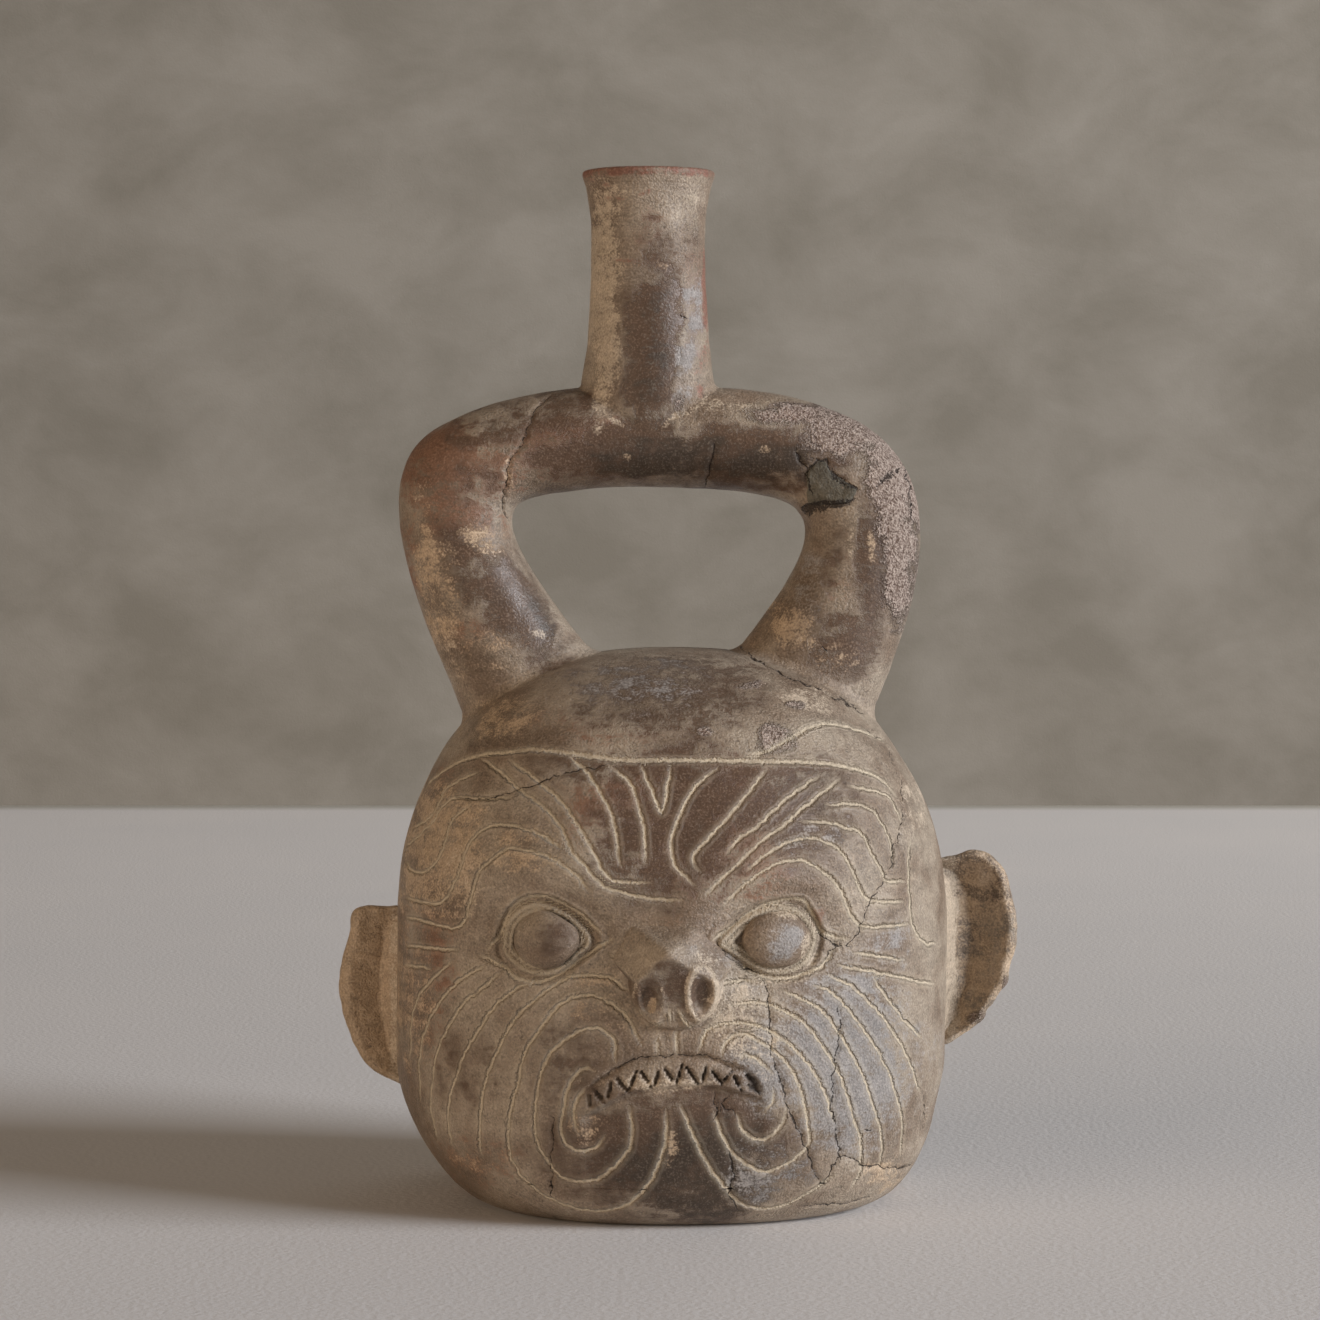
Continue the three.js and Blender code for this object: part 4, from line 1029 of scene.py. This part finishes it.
def makeBase():
    joint, thickness = head["joint"], base["thickness"]
    outerEnd = (np.interp(joint, outside[:, 1], outside[:, 0]), joint)
    innerEnd = (np.interp(joint, inside[:, 1], inside[:, 0]), joint)
    innerFoot = (np.interp(thickness, inside[:, 1], inside[:, 0]), thickness)
    skin = np.vstack((outside[outside[:, 1] < joint], outerEnd))
    floor = ([(0, 0), skin[0]], base["floorRows"])
    edge = ([outerEnd, innerEnd], base["edgeRows"])
    wall = ([innerEnd, innerFoot], base["wallRows"])
    innerFloor = ([innerFoot, (0, thickness)], base["floorRows"])
    rows, corners = joinRows(floor, (skin, base["skinRows"]), edge, wall, innerFloor)
    count = len(rows) - 1

    def place(s, t):
        row = np.round(t * count).astype(int)
        widths, heights = rows[row, 0], rows[row, 1]
        onSkin = (row > corners[0]) & (row <= corners[1])
        relieved = headSpots(np.clip(s * 2, 0, 1), widths, heights, True)
        plain = headSpots(np.clip(s * 2, 0, 1), widths, heights, False)
        back = headSpots(np.clip(2 - s * 2, 0, 1), widths, heights, False, True)
        front = np.where(onSkin[:, None], relieved, plain)
        spots = np.where(s[:, None] <= 0.5, front, back)
        return spots, headWays(spots) * onSkin[:, None]

    bm = bmesh.new()
    addSheet(bm, base["columns"], count, place, corners[1:])
    piece = makePiece("base", bm, "base_dish", burnishedClay)
    spots = spotsOf(piece)
    moveTo(piece, spots + waysOf(piece) * (handMade(spots) - carved(spots))[:, None])
    finishClay(piece, spots)


# Nose: a snub snout with a flat front and two roofs, worked with a spatula, over a round foot. Each plane
# goes through three points of the photograph, as pixels and a height over the face, and its edges are soft
nose = {
    "planes": {
        "front": [(668, 953, 8.8), (640, 1033, 1.6), (715, 1033, 1.6)],
        "rightRoof": [(668, 953, 8.6), (716, 981, 5.6), (712, 947, 0.2)],
        "leftRoof": [(668, 953, 8.6), (631, 987, 5.2), (626, 946, 0.3)],
        "bridge": [(640, 932, 0.6), (700, 932, 0.6), (668, 953, 9.0)],
    },
    "foot": (676, 984, 48, 50, 11.5),  # middle and reach in pixels, and height
    "planeY": -72, "soft": 0.55, "flare": 0.8, "spread": 0.9, "columns": 130, "rows": 150,
    "across": (-16, 16), "up": (40, 76), "root": 0.9, "rootEdge": (0.7, 0.1), "backing": 2, "skinDepth": 0.4,
    "nostrils": [  # pixel, half width and height in pixels, depth, height of the ring and its place
        (648, 1000, 8.5, 14, 1.25, 0.32, 1.8), (702, 994, 8.5, 16, 1.0, 0.7, 1.7),
    ],
    "nostrilEdge": (1.25, 0.6), "ringReach": 0.4, "shade": 0.12, "shadeEdge": (1.1, 0.6),
    "lines": [[(678, 1010), (684, 1021), (692, 1028), (702, 1031), (711, 1027), (719, 1014)],
              [(640, 1010), (644, 1020), (652, 1026), (660, 1023)], [(669, 1009), (670, 1023)]],
    "lineTaper": 1.5, "lineRise": 0.45, "lineReach": 0.6, "pale": 1.2,
    # dark: umber over the front: dark slip, and painted shade where the front faces down
    "dark": 0.64, "darkDown": (1030, 988), "darkAcross": (720, 706),  # pixels where it ends and is full
}


def noseForm(x, z):  # the lowest of the planes and the foot, with soft edges, and how much of it is the front
    soft, y = nose["soft"], nose["planeY"]
    u, v, reachU, reachV, rise = nose["foot"]
    middle, corner = onPlane([(u, v), (u + reachU, v - reachV)], y)
    up = (z - middle[2]) / (corner[2] - middle[2])  # the top runs on into the bridge and the cheeks
    across = (x - middle[0]) / (corner[0] - middle[0]) / (1 + nose["spread"] * np.clip(up, 0, 1))
    away = across**2 + np.minimum(up, 0) ** 2
    levels = {"foot": rise * (1 - away**2)}
    for name, points in nose["planes"].items():
        marks = onPlane([mark[:2] for mark in points], y)
        matrix = np.column_stack((np.ones(3), marks[:, 0], marks[:, 2]))
        level, slopeX, slopeZ = np.linalg.solve(matrix, [mark[2] for mark in points])
        levels[name] = level + slopeX * x + slopeZ * z
    parts = {name: np.exp(-np.clip(level, -14, 40) / soft) for name, level in levels.items()}
    total = sum(parts.values())
    lowest = -soft * np.log(total) / nose["flare"]
    front = (parts["front"] + parts["foot"]) / total
    return nose["flare"] * np.log1p(np.exp(np.clip(lowest, -40, 40))), front


def makeNose():
    (left, right), (low, high) = nose["across"], nose["up"]

    def place(s, t):
        x, z = left + (right - left) * s, low + (high - low) * t
        height = noseForm(x, z)[0]
        y = frontY(x, z) - height + nose["root"] * smoothStep(*nose["rootEdge"], height)
        return np.stack((x, y, z), 1)

    bm = bmesh.new()
    addSheet(bm, nose["columns"], nose["rows"], place)
    rim = [edge for edge in bm.edges if edge.is_boundary]
    behind = Vector((0, nose["backing"] * mm, 0))
    rimVerts = [vert for vert in bm.verts if vert.is_boundary]
    backOf = {vert: bm.verts.new(vert.co + behind) for vert in rimVerts}
    for edge in rim:
        a, b = edge.verts
        bm.faces.new((a, b, backOf[b], backOf[a]))
    bmesh.ops.holes_fill(bm, edges=[edge for edge in bm.edges if edge.is_boundary])
    piece = makePiece("nose_pad", bm, "nose", burnishedClay)
    spots = spotsOf(piece)
    pixels = pixelsOf(spots)
    dent, ring, cutShade = np.zeros(len(spots)), np.zeros(len(spots)), np.zeros(len(spots))
    for u, v, halfU, halfV, depth, rise, ringAt in nose["nostrils"]:
        reach = np.hypot((pixels[:, 0] - u) / halfU, (pixels[:, 1] - v) / halfV)
        crest = bell(reach - ringAt, nose["ringReach"])
        dent += depth * smoothStep(*nose["nostrilEdge"], reach) - rise * crest
        ring = np.maximum(ring, crest * rise)
        cutShade = np.maximum(cutShade, nose["shade"] * smoothStep(*nose["shadeEdge"], reach))
    creases = LineField({"nose": nose["lines"]}, treeOf((60, 60, place)), nose["lineTaper"])
    line = creases.measure(spots)
    dent -= nose["lineRise"] * line[2] * bell(line[0], nose["lineReach"])
    onTop = spots[:, 1] < frontY(spots[:, 0], spots[:, 2]) + nose["skinDepth"]
    moveTo(piece, swellHead(spots + np.array((0, 1, 0)) * (dent * onTop)[:, None]))
    # the front gets dark slip and painted shade, the nostril rings pale clay
    front = noseForm(spots[:, 0], spots[:, 2])[1]
    upper = smoothStep(*nose["darkDown"], pixels[:, 1]) * smoothStep(*nose["darkAcross"], pixels[:, 0])
    finishClay(piece, spots, line, cutShade, cream=nose["pale"] * ring, umber=nose["dark"] * front * upper)


def polarPlace(outline, height):  # a domed pad over a closed outline, as a fan of columns and rings
    centre = outline.mean(axis=0)

    def place(s, t):
        angle = s * len(outline)
        low = np.floor(angle).astype(int) % len(outline)
        share = (angle - np.floor(angle))[:, None]
        edge = outline[low] * (1 - share) + outline[(low + 1) % len(outline)] * share
        return height(centre + (edge - centre) * t[:, None], t)

    return place


# Eyes: a round ball that stands in a socket with a pointed corner. domes: middle and reach in pixels
eyePads = {
    "domes": {"left": (547.5, 939, 33, 30), "right": (776.5, 939, 34.5, 29)}, "height": 5.4, "corner": -0.5,
    "points": 160, "columns": 140, "rows": 60, "rootRows": 4, "sunk": 0.5, "sunkFrom": 0.9, "root": 1.5,
}


def makeEye(side):
    edge = castOn(smoothHead, smoothPath(eyeOutlines[side], closed=True))
    outline = evenly(edge, eyePads["points"], True)

    def dome(points, t):
        x, z = points[:, 0], points[:, 2]
        u, v, reachU, reachV = eyePads["domes"][side]
        away = ((pixelsOf(points) - np.array((u, v))) / np.array((reachU, reachV))) ** 2
        rise = np.maximum(eyePads["height"] * np.sqrt(np.clip(1 - away.sum(axis=1), 0, 1)), eyePads["corner"])
        y = frontY(x, z) - rise + eyePads["sunk"] * smoothStep(eyePads["sunkFrom"], 1, t)
        return np.stack((x, y, z), 1)

    def root(points, t):
        x, z = points[:, 0], points[:, 2]
        return np.stack((x, frontY(x, z) + eyePads["sunk"] + eyePads["root"] * (1 - t), z), 1)

    bm = bmesh.new()
    addSheet(bm, eyePads["columns"], eyePads["rows"], polarPlace(outline, dome))
    addSheet(bm, eyePads["columns"], eyePads["rootRows"], polarPlace(outline, root))
    piece = makePiece(side + "_eye_pad", bm, side + "_eye", burnishedClay)
    spots = spotsOf(piece)
    moveTo(piece, swellHead(spots))
    finishClay(piece, spots)


# Ears: cupped flaps, pressed on at the sides of the head. fold: share of the way out, and how far back the
# skin lies; pale: pixels where the pale clay by the head ends and is full, and its strength. On the right ear
# the pale is also a painted highlight where the root's slope faces the lamp
ears = {
    "left": {
        "outline": [(401, 1084), (384, 1077), (369, 1068), (358, 1055), (350, 1037), (343, 1017),
                    (340, 997), (340, 973), (343, 950), (346, 939), (349, 929), (350, 915), (355, 909),
                    (367, 905), (384, 907), (396, 906)],
        "root": [(408, 1078), (409, 1040), (409, 990), (409, 950), (408, 912)], "y": 3.5, "thickness": 5.5,
        "fold": [(0, -3), (0.2, -1.5), (0.5, 1.4), (0.85, -0.4), (1, -0.8)],
        "pale": (384, 394, 0.6), "ochre": 1.0,
    },
    "right": {
        "outline": [(945, 1044), (951, 1042), (959, 1037), (973, 1028), (985, 1019), (988, 1010),
                    (994, 1002), (1000, 991), (1008, 983), (1010, 971), (1014, 955), (1017, 936),
                    (1017, 915), (1013, 899), (1009, 880), (1003, 867), (991, 855), (978, 850),
                    (959, 854), (938, 859)],
        "root": [(938, 1040), (937, 1000), (936, 950), (936, 900), (934, 866)], "y": 2.5, "thickness": 4.6,
        "fold": [(0, -10), (0.1, -7.5), (0.32, 3), (0.5, 4.6), (0.85, 0.4), (1, -1.2)],
        "pale": (966, 950, 0.9), "ochre": 0.6,
    },
}
earSheet = {
    "columns": 140, "rows": 110, "points": 240, "front": 0.42, "tips": 0.35, "thinTo": 3, "softenings": 3,
    "lump": 0.45, "lumpSize": 6, "chip": 0.2, "chipSize": 2.5,
}


def makeEar(side):
    ear = ears[side]
    outer = evenly(onPlane(smoothPath(ear["outline"]), ear["y"]), earSheet["points"])
    root = evenly(onPlane(smoothPath(ear["root"]), ear["y"]), earSheet["points"])
    shares = np.linspace(0, 1, earSheet["points"])
    front, tips = earSheet["front"], earSheet["tips"]

    def place(s, t):  # t goes out over the front, round the rim, and back in over the rear
        edge = np.stack([np.interp(s, shares, outer[:, k]) for k in (0, 2)], 1)
        base = np.stack([np.interp(s, shares, root[:, k]) for k in (0, 2)], 1)
        turn = np.clip((t - front) / (1 - 2 * front), 0, 1)
        out = np.clip(np.minimum(t, 1 - t) / front, 0, 1)
        narrow = np.sin(np.clip(s, 0, 1) * math.pi) ** 0.5
        reach = np.linalg.norm(edge - base, axis=1)
        half = ear["thickness"] / 2 * (tips + (1 - tips) * narrow) * smoothStep(0, earSheet["thinTo"], reach)
        rim = np.clip(1 - half / np.maximum(reach, 0.1), 0, 1)
        share = out * rim + np.sin(turn * math.pi) * (1 - rim)
        fold = np.interp(out, *zip(*ear["fold"])) * narrow
        flat = base + (edge - base) * share[:, None]
        return np.stack((flat[:, 0], ear["y"] + fold + half * (1 - np.cos(turn * math.pi)), flat[:, 1]), 1)

    bm = bmesh.new()
    addSheet(bm, earSheet["columns"], earSheet["rows"], place)
    bmesh.ops.remove_doubles(bm, verts=bm.verts, dist=1e-5)
    axes = {"use_axis_x": True, "use_axis_y": True, "use_axis_z": True}
    for softening in range(earSheet["softenings"]):
        bmesh.ops.smooth_vert(bm, verts=bm.verts, factor=0.5, **axes)
    bmesh.ops.holes_fill(bm, edges=[edge for edge in bm.edges if edge.is_boundary])
    piece = makePiece(side + "_ear_flap", bm, side + "_ear", burnishedClay)
    spots = spotsOf(piece)
    rough = earSheet["lump"] * lumps(spots, earSheet["lumpSize"], 5)
    rough = rough + earSheet["chip"] * lumps(spots, earSheet["chipSize"], 6)
    moveTo(piece, spots + normalsOf(piece) * rough[:, None])
    off, on, strength = ear["pale"]
    cream = strength * smoothStep(off, on, pixelsOf(spots)[:, 0])
    finishClay(piece, spots, cream=cream, ochre=np.full(len(spots), ear["ochre"]))


tubeWork = {"lump": 0.4, "lumpSize": 16, "ripple": 0.14, "rippleSize": 5}


def rolled(spots):  # how far the skin of a rolled tube stands off the plain form
    lump = tubeWork["lump"] * lumps(spots, tubeWork["lumpSize"], 3)
    return lump + tubeWork["ripple"] * lumps(spots, tubeWork["rippleSize"], 4)


def makeTube(name):
    rows, place = tubePlace(tubes[name])
    bm = bmesh.new()
    addSheet(bm, stirrup["sides"], rows, place, (0, stirrup["skinRows"], rows))
    piece = makePiece(name + "_tube", bm, name, burnishedClay)
    spots = spotsOf(piece)
    moveTo(piece, spots + waysOf(piece) * (rolled(spots) - carved(spots))[:, None])
    finishClay(piece, spots)


# Fill in the right elbow: a rough plug of mortar, as pixels, with open gaps along two of its edges
fillPlug = {
    "outline": [(805, 475), (811, 464), (824, 459), (830, 469), (843, 479), (860, 490), (853, 503),
                (830, 506), (807, 504)],
    "proud": 0.3, "edge": -0.5, "edgeFrom": 0.8, "sunk": 1.6, "lump": 0.35, "lumpSize": 2.2, "lumpTo": 0.9,
    "points": 120, "columns": 90, "rows": 24, "rootRows": 6,
}


def makeFill():
    border = castOn(smoothTubes, smoothPath(fillPlug["outline"], closed=True))
    outline = evenly(border, fillPlug["points"], True)
    edge, edgeFrom = fillPlug["edge"], fillPlug["edgeFrom"]

    def face(points, t):
        lift = fillPlug["proud"] + (edge - fillPlug["proud"]) * smoothStep(edgeFrom, 1, t)
        lump = fillPlug["lump"] * lumps(points, fillPlug["lumpSize"], 8) * (t < fillPlug["lumpTo"])
        return nearestOn(smoothTubes, points, lift + lump, -lookAlong)

    def root(points, t):
        lift = edge - fillPlug["sunk"] * smoothStep(1, edgeFrom, t)
        return nearestOn(smoothTubes, points, lift, -lookAlong)

    bm = bmesh.new()
    addSheet(bm, fillPlug["columns"], fillPlug["rows"], polarPlace(outline, face))
    addSheet(bm, fillPlug["columns"], fillPlug["rootRows"], polarPlace(outline, root))
    piece = makePiece("elbow_fill_plug", bm, "elbow_fill", fillMortar)
    spots = spotsOf(piece)
    moveTo(piece, spots + np.array((0, -1, 0)) * rolled(spots)[:, None])
    finishClay(piece, spots, strongest=0.0)


# Rim of the spout: a coil, red with slip along its top. Its outline is radius and height
spoutRim = {
    "outline": [(11.4, 240), (14, 240), (14.85, 241.1), (15.25, 242.2), (15.6, 243.3), (15.7, 244.2),
                (15.3, 244.8), (14.2, 245), (12.6, 244.9), (11.6, 244.3), (11.3, 242)],
    "rows": 90, "red": 0.55, "redFade": (241.6, 244),
}


def spoutWays(spots):
    away = (spots - np.array((spout["x"], 0, 0))) * np.array((1, 1, 0))
    return away / np.linalg.norm(away, axis=1)[:, None]


def makeSpout():
    low, high, wall = spoutCurve[0, 1], spoutCurve[-1, 1], spout["wall"]
    rows, corners = joinRows(([(0, low), (0, high)], spout["rows"]), ([(0, high), (wall, high)], 2),
                             ([(wall, high), (wall, low)], spout["boreRows"]), ([(wall, low), (0, low)], 1))
    count = len(rows) - 1

    def place(s, t):
        row = np.round(t * count).astype(int)
        spots = spoutSpots(s * fullTurn, rows[row, 1], rows[row, 0])
        return spots, spoutWays(spots) * (rows[row, 0] == 0)[:, None]

    bm = bmesh.new()
    addSheet(bm, spout["columns"], count, place, corners)
    piece = makePiece("spout_tube", bm, "spout", burnishedClay)
    spots = spotsOf(piece)
    moveTo(piece, spots + waysOf(piece) * (rolled(spots) - carved(spots))[:, None])
    finishClay(piece, spots)


def makeRim():
    coil = evenly(smoothPath(spoutRim["outline"], 0.2, True), spoutRim["rows"], True)

    def place(s, t):
        radius, height = coil[np.round(t * spoutRim["rows"]).astype(int) % spoutRim["rows"]].T
        angle = s * fullTurn
        return np.stack((spout["x"] + radius * np.sin(angle), -radius * np.cos(angle), height), 1)

    bm = bmesh.new()
    addSheet(bm, spout["columns"], spoutRim["rows"], place)
    piece = makePiece("spout_rim_coil", bm, "spout_lip", redSlip)
    spots = spotsOf(piece)
    moveTo(piece, spots + spoutWays(spots) * rolled(spots)[:, None])
    finishClay(piece, spots, red=spoutRim["red"] * smoothStep(*spoutRim["redFade"], spots[:, 2]))


# Luting: soft clay smoothed into the corners where the tubes meet what carries them
luting = {
    "columns": 160, "rows": 10, "legReach": 3.4, "spoutReach": 2.4, "sunk": 0.2, "core": 0.9,
    "legSearch": (-1, 0.4, 281), "spoutSearch": (214, 96), "spotsPerMm": 2.5,
    "spoutAside": 0.8, "spoutDrop": 0.9,
}


def makeLuting(name, corner, onTube, onCarrier):  # from three rings of points
    inner = corner + (corner - (onTube + onCarrier) / 2) * luting["core"]

    def place(s, t):
        column = np.round(s * luting["columns"]).astype(int) % luting["columns"]
        row = np.round(t * (luting["rows"] + 2)).astype(int) % (luting["rows"] + 2)
        share = np.clip(row / luting["rows"], 0, 1)[:, None]
        a, b, c = onTube[column], corner[column], onCarrier[column]
        curve = a * (1 - share)**2 + 2 * b * share * (1 - share) + c * share**2
        return np.where((row > luting["rows"])[:, None], inner[column], curve)

    bm = bmesh.new()
    addSheet(bm, luting["columns"], luting["rows"] + 2, place)
    piece = makePiece(name + "_luting_fillet", bm, name + "_luting", lutingClay)
    finishClay(piece, spotsOf(piece))


def headShare(points):  # below 1 inside the head
    widths = np.interp(points[:, 2], outside[:, 1], outside[:, 0], right=1e-3)
    depth = widths * head["depth"] / head["width"]
    return np.abs(points[:, 0] / widths) ** head["plan"] + np.abs(points[:, 1] / depth) ** head["plan"]


def makeLegLuting(name):
    steps = np.linspace(*luting["legSearch"])
    corner, onTube, ways = [], [], []
    for angle in np.linspace(0, fullTurn, luting["columns"], endpoint=False):
        spots, out = tubeSpots(tubes[name], np.full(len(steps), angle), steps)
        last = int(np.nonzero(headShare(spots) < 1)[0].max())
        further = alongTable(spots) - alongTable(spots)[last]
        reached = np.searchsorted(further, luting["legReach"])
        corner.append(spots[last])
        ways.append(out[last])
        lift = rolled(spots[reached:reached + 1])[0] - luting["sunk"]
        onTube.append(spots[reached] + out[reached] * lift)
    corner, onTube, ways = np.array(corner), np.array(onTube), np.array(ways)
    onHead = nearestOn(smoothHead, corner + ways * luting["legReach"], -luting["sunk"], (0, 0, 1))
    makeLuting(name, corner, onTube, swellHead(onHead))


def makeSpoutLuting():
    heights = np.linspace(spoutCurve[0, 1], *luting["spoutSearch"])
    barMiddle = np.array((0, 0, (stirrup["crownZ"] + stirrup["underZ"]) / 2))
    corner, onTube, ways = [], [], []
    for angle in np.linspace(0, fullTurn, luting["columns"], endpoint=False):
        spots = spoutSpots(np.full(len(heights), angle), heights)
        out = np.array((math.sin(angle), -math.cos(angle), 0))
        found = [smoothTubes.find_nearest(Vector(spot))[0] for spot in spots]
        outward = (spots - barMiddle) * np.array((0, 1, 1))
        within = np.sum((spots - np.array(found)) * outward, axis=1) < 0
        last = int(np.nonzero(within)[0].max())
        reached = last + int(luting["spoutReach"] * luting["spotsPerMm"])
        corner.append(spots[last])
        ways.append(out)
        lift = rolled(spots[reached:reached + 1])[0] - luting["sunk"]
        onTube.append(spots[reached] + out * lift)
    corner, onTube, ways = np.array(corner), np.array(onTube), np.array(ways)
    outward = (corner - barMiddle) * np.array((0, 1, 1))
    drop = np.array((0, 0, luting["spoutDrop"]))
    aside = corner + ways * luting["spoutReach"] * luting["spoutAside"] - drop
    lift = rolled(corner) - luting["sunk"]
    makeLuting("spout", corner, onTube, nearestOn(smoothTubes, aside, lift, outward))


makeFace()
makeRear()
makeBase()
makeNose()
for side in ("left", "right"):
    makeEye(side)
    makeEar(side)
for name in tubes:
    makeTube(name)
makeFill()
makeSpout()
makeRim()
makeLegLuting("left_leg")
makeLegLuting("right_leg")
makeSpoutLuting()


# Plain stuff with slow clouds of two tones and a fine grit: matt, so that it takes light evenly
plaster = {
    "cloud": {"Detail": 8.0, "Roughness": 0.6, "Distortion": 0.25}, "tones": (0.35, 0.65),
    "grit": 1.6, "rise": 0.4,
}


def makePlaster(name, low, high, size, rough, turn=0.0, stretch=1.0, edge=None):
    material, node, place = startMaterial(name)
    lean = (0, math.radians(turn), 0)
    sweep = node("Mapping", {"Vector": place, "Rotation": lean, "Scale": (1, 1, stretch)})
    cloud = node("TexNoise", {"Vector": sweep, "Scale": scaleOf(size), **plaster["cloud"]})
    share = node("MapRange", {0: cloud, 1: plaster["tones"][0], 2: plaster["tones"][1]})
    colour = node("Mix", {0: share, 6: linear(low), 7: linear(high)}, 2, data_type="RGBA")
    if edge:  # a far edge that isn't sharp: its colour, where it starts and where it ends
        far = node("SeparateXYZ", {0: place}, "Y")
        near = node("MapRange", {0: far, 1: edge[1], 2: edge[2]}, interpolation_type="SMOOTHSTEP")
        colour = node("Mix", {0: near, 6: colour, 7: linear(edge[0])}, 2, data_type="RGBA")
    grit = node("TexNoise", {"Vector": place, "Scale": scaleOf(plaster["grit"]), "Detail": 3.0})
    bump = node("Bump", {"Strength": 0.5, "Distance": plaster["rise"] * mm, "Height": grit})
    shader = node("BsdfPrincipled", {"Base Color": colour, "Roughness": rough, "Normal": bump})
    node("OutputMaterial", {"Surface": shader})
    return material


coilClay = makePlaster("pressed_coil_clay", "937d67", "b8a48d", 6, 0.8)
for node in ("left_seam_coil", "right_seam_coil", "crown_seam_coil", "base_coil"):
    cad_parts[node].data.materials.clear()
    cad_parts[node].data.materials.append(coilClay)

# Stage: a pale table, a grey plaster wall behind it, one big soft light from the right and a dim warm room
stage = {
    "tableEnd": 1.227, "tableFront": -2.4, "tableHalf": 3.0, "tableFade": (1.183, 1.226),
    "wallY": 2.3, "wallHalf": 3.4, "wallLow": -1.2, "wallHigh": 2.8,
}


def makePlate(name, corners, material):  # a flat sheet from one corner to the two beside it
    bm = bmesh.new()
    origin, right, far = [Vector(corner) for corner in corners]
    for vert in bmesh.ops.create_grid(bm, x_segments=1, y_segments=1, size=1)["verts"]:
        vert.co = origin + (right - origin) * (vert.co.x + 1) / 2 + (far - origin) * (vert.co.y + 1) / 2
    mesh = bpy.data.meshes.new(name)
    bm.to_mesh(mesh)
    bm.free()
    mesh.materials.append(material)
    plate = bpy.data.objects.new(name, mesh)
    bpy.context.collection.objects.link(plate)


tableHalf, tableFront, tableEnd = stage["tableHalf"], stage["tableFront"], stage["tableEnd"]
wallHalf, wallY, wallLow, wallHigh = stage["wallHalf"], stage["wallY"], stage["wallLow"], stage["wallHigh"]
tablePaint = makePlaster("painted_table", "dad7d5", "dfdbd8", 300, 0.7, edge=("ada99e", *stage["tableFade"]))
wallPlaster = makePlaster("grey_wall_plaster", "807a6f", "938d83", 130, 0.9, 40, 1.4)
tableCorners = [(-tableHalf, tableFront, 0), (tableHalf, tableFront, 0), (-tableHalf, tableEnd, 0)]
wallCorners = [(-wallHalf, wallY, wallLow), (wallHalf, wallY, wallLow), (-wallHalf, wallY, wallHigh)]
makePlate("table", tableCorners, tablePaint)
makePlate("wall", wallCorners, wallPlaster)

# lamps: place and aim in metres, size in metres, watts and linear colour
cold, warm, amber = (0.905, 0.937, 1.0), (1.0, 0.97, 0.93), (1.0, 0.79, 0.59)
lights = {
    "key": {"at": (4.05, -1.6, 1.4), "aim": (0, 0, 0.1), "size": 2.1, "power": 277, "colour": cold},
    "fill": {"at": (-1.9, -1.7, 0.25), "aim": (0, 0, 0.12), "size": 1.8, "power": 38, "colour": amber},
    "wallWash": {"at": (0.6, 1.25, 1.3), "aim": (0, 2.3, 0.2), "size": 1.4, "power": 5, "colour": warm},
    "wallGlow": {"at": (-0.1, 1.5, -0.5), "aim": (0, 2.3, 0.15), "size": 0.8, "power": 1.2, "colour": warm},
}
room = {"colour": (1.0, 0.79, 0.6, 1.0), "strength": 0.092}
for name, light in lights.items():
    lamp = bpy.data.lights.new(name, "AREA")
    lamp.size, lamp.energy, lamp.color = light["size"], light["power"], light["colour"]
    holder = bpy.data.objects.new(name, lamp)
    holder.location = light["at"]
    holder.rotation_euler = (Vector(light["aim"]) - Vector(light["at"])).to_track_quat("-Z", "Y").to_euler()
    bpy.context.collection.objects.link(holder)
world = bpy.data.worlds.new("dim_room")
world.use_nodes = True
world.node_tree.nodes["Background"].inputs[0].default_value = room["colour"]
world.node_tree.nodes["Background"].inputs[1].default_value = room["strength"]
bpy.context.scene.world = world
bpy.context.scene.view_settings.view_transform = "Standard"

camera = bpy.data.cameras.new("photo_camera")
camera.sensor_width = photo["sensor"]
camera.lens = photo["sensor"] * photo["focal"] / photo["side"]
cameraObject = bpy.data.objects.new("photo_camera", camera)
cameraObject.location = Vector(photo["spot"]) * mm
cameraObject.rotation_euler = (math.radians(90 - photo["pitch"]), 0, 0)
bpy.context.collection.objects.link(cameraObject)
bpy.context.scene.camera = cameraObject
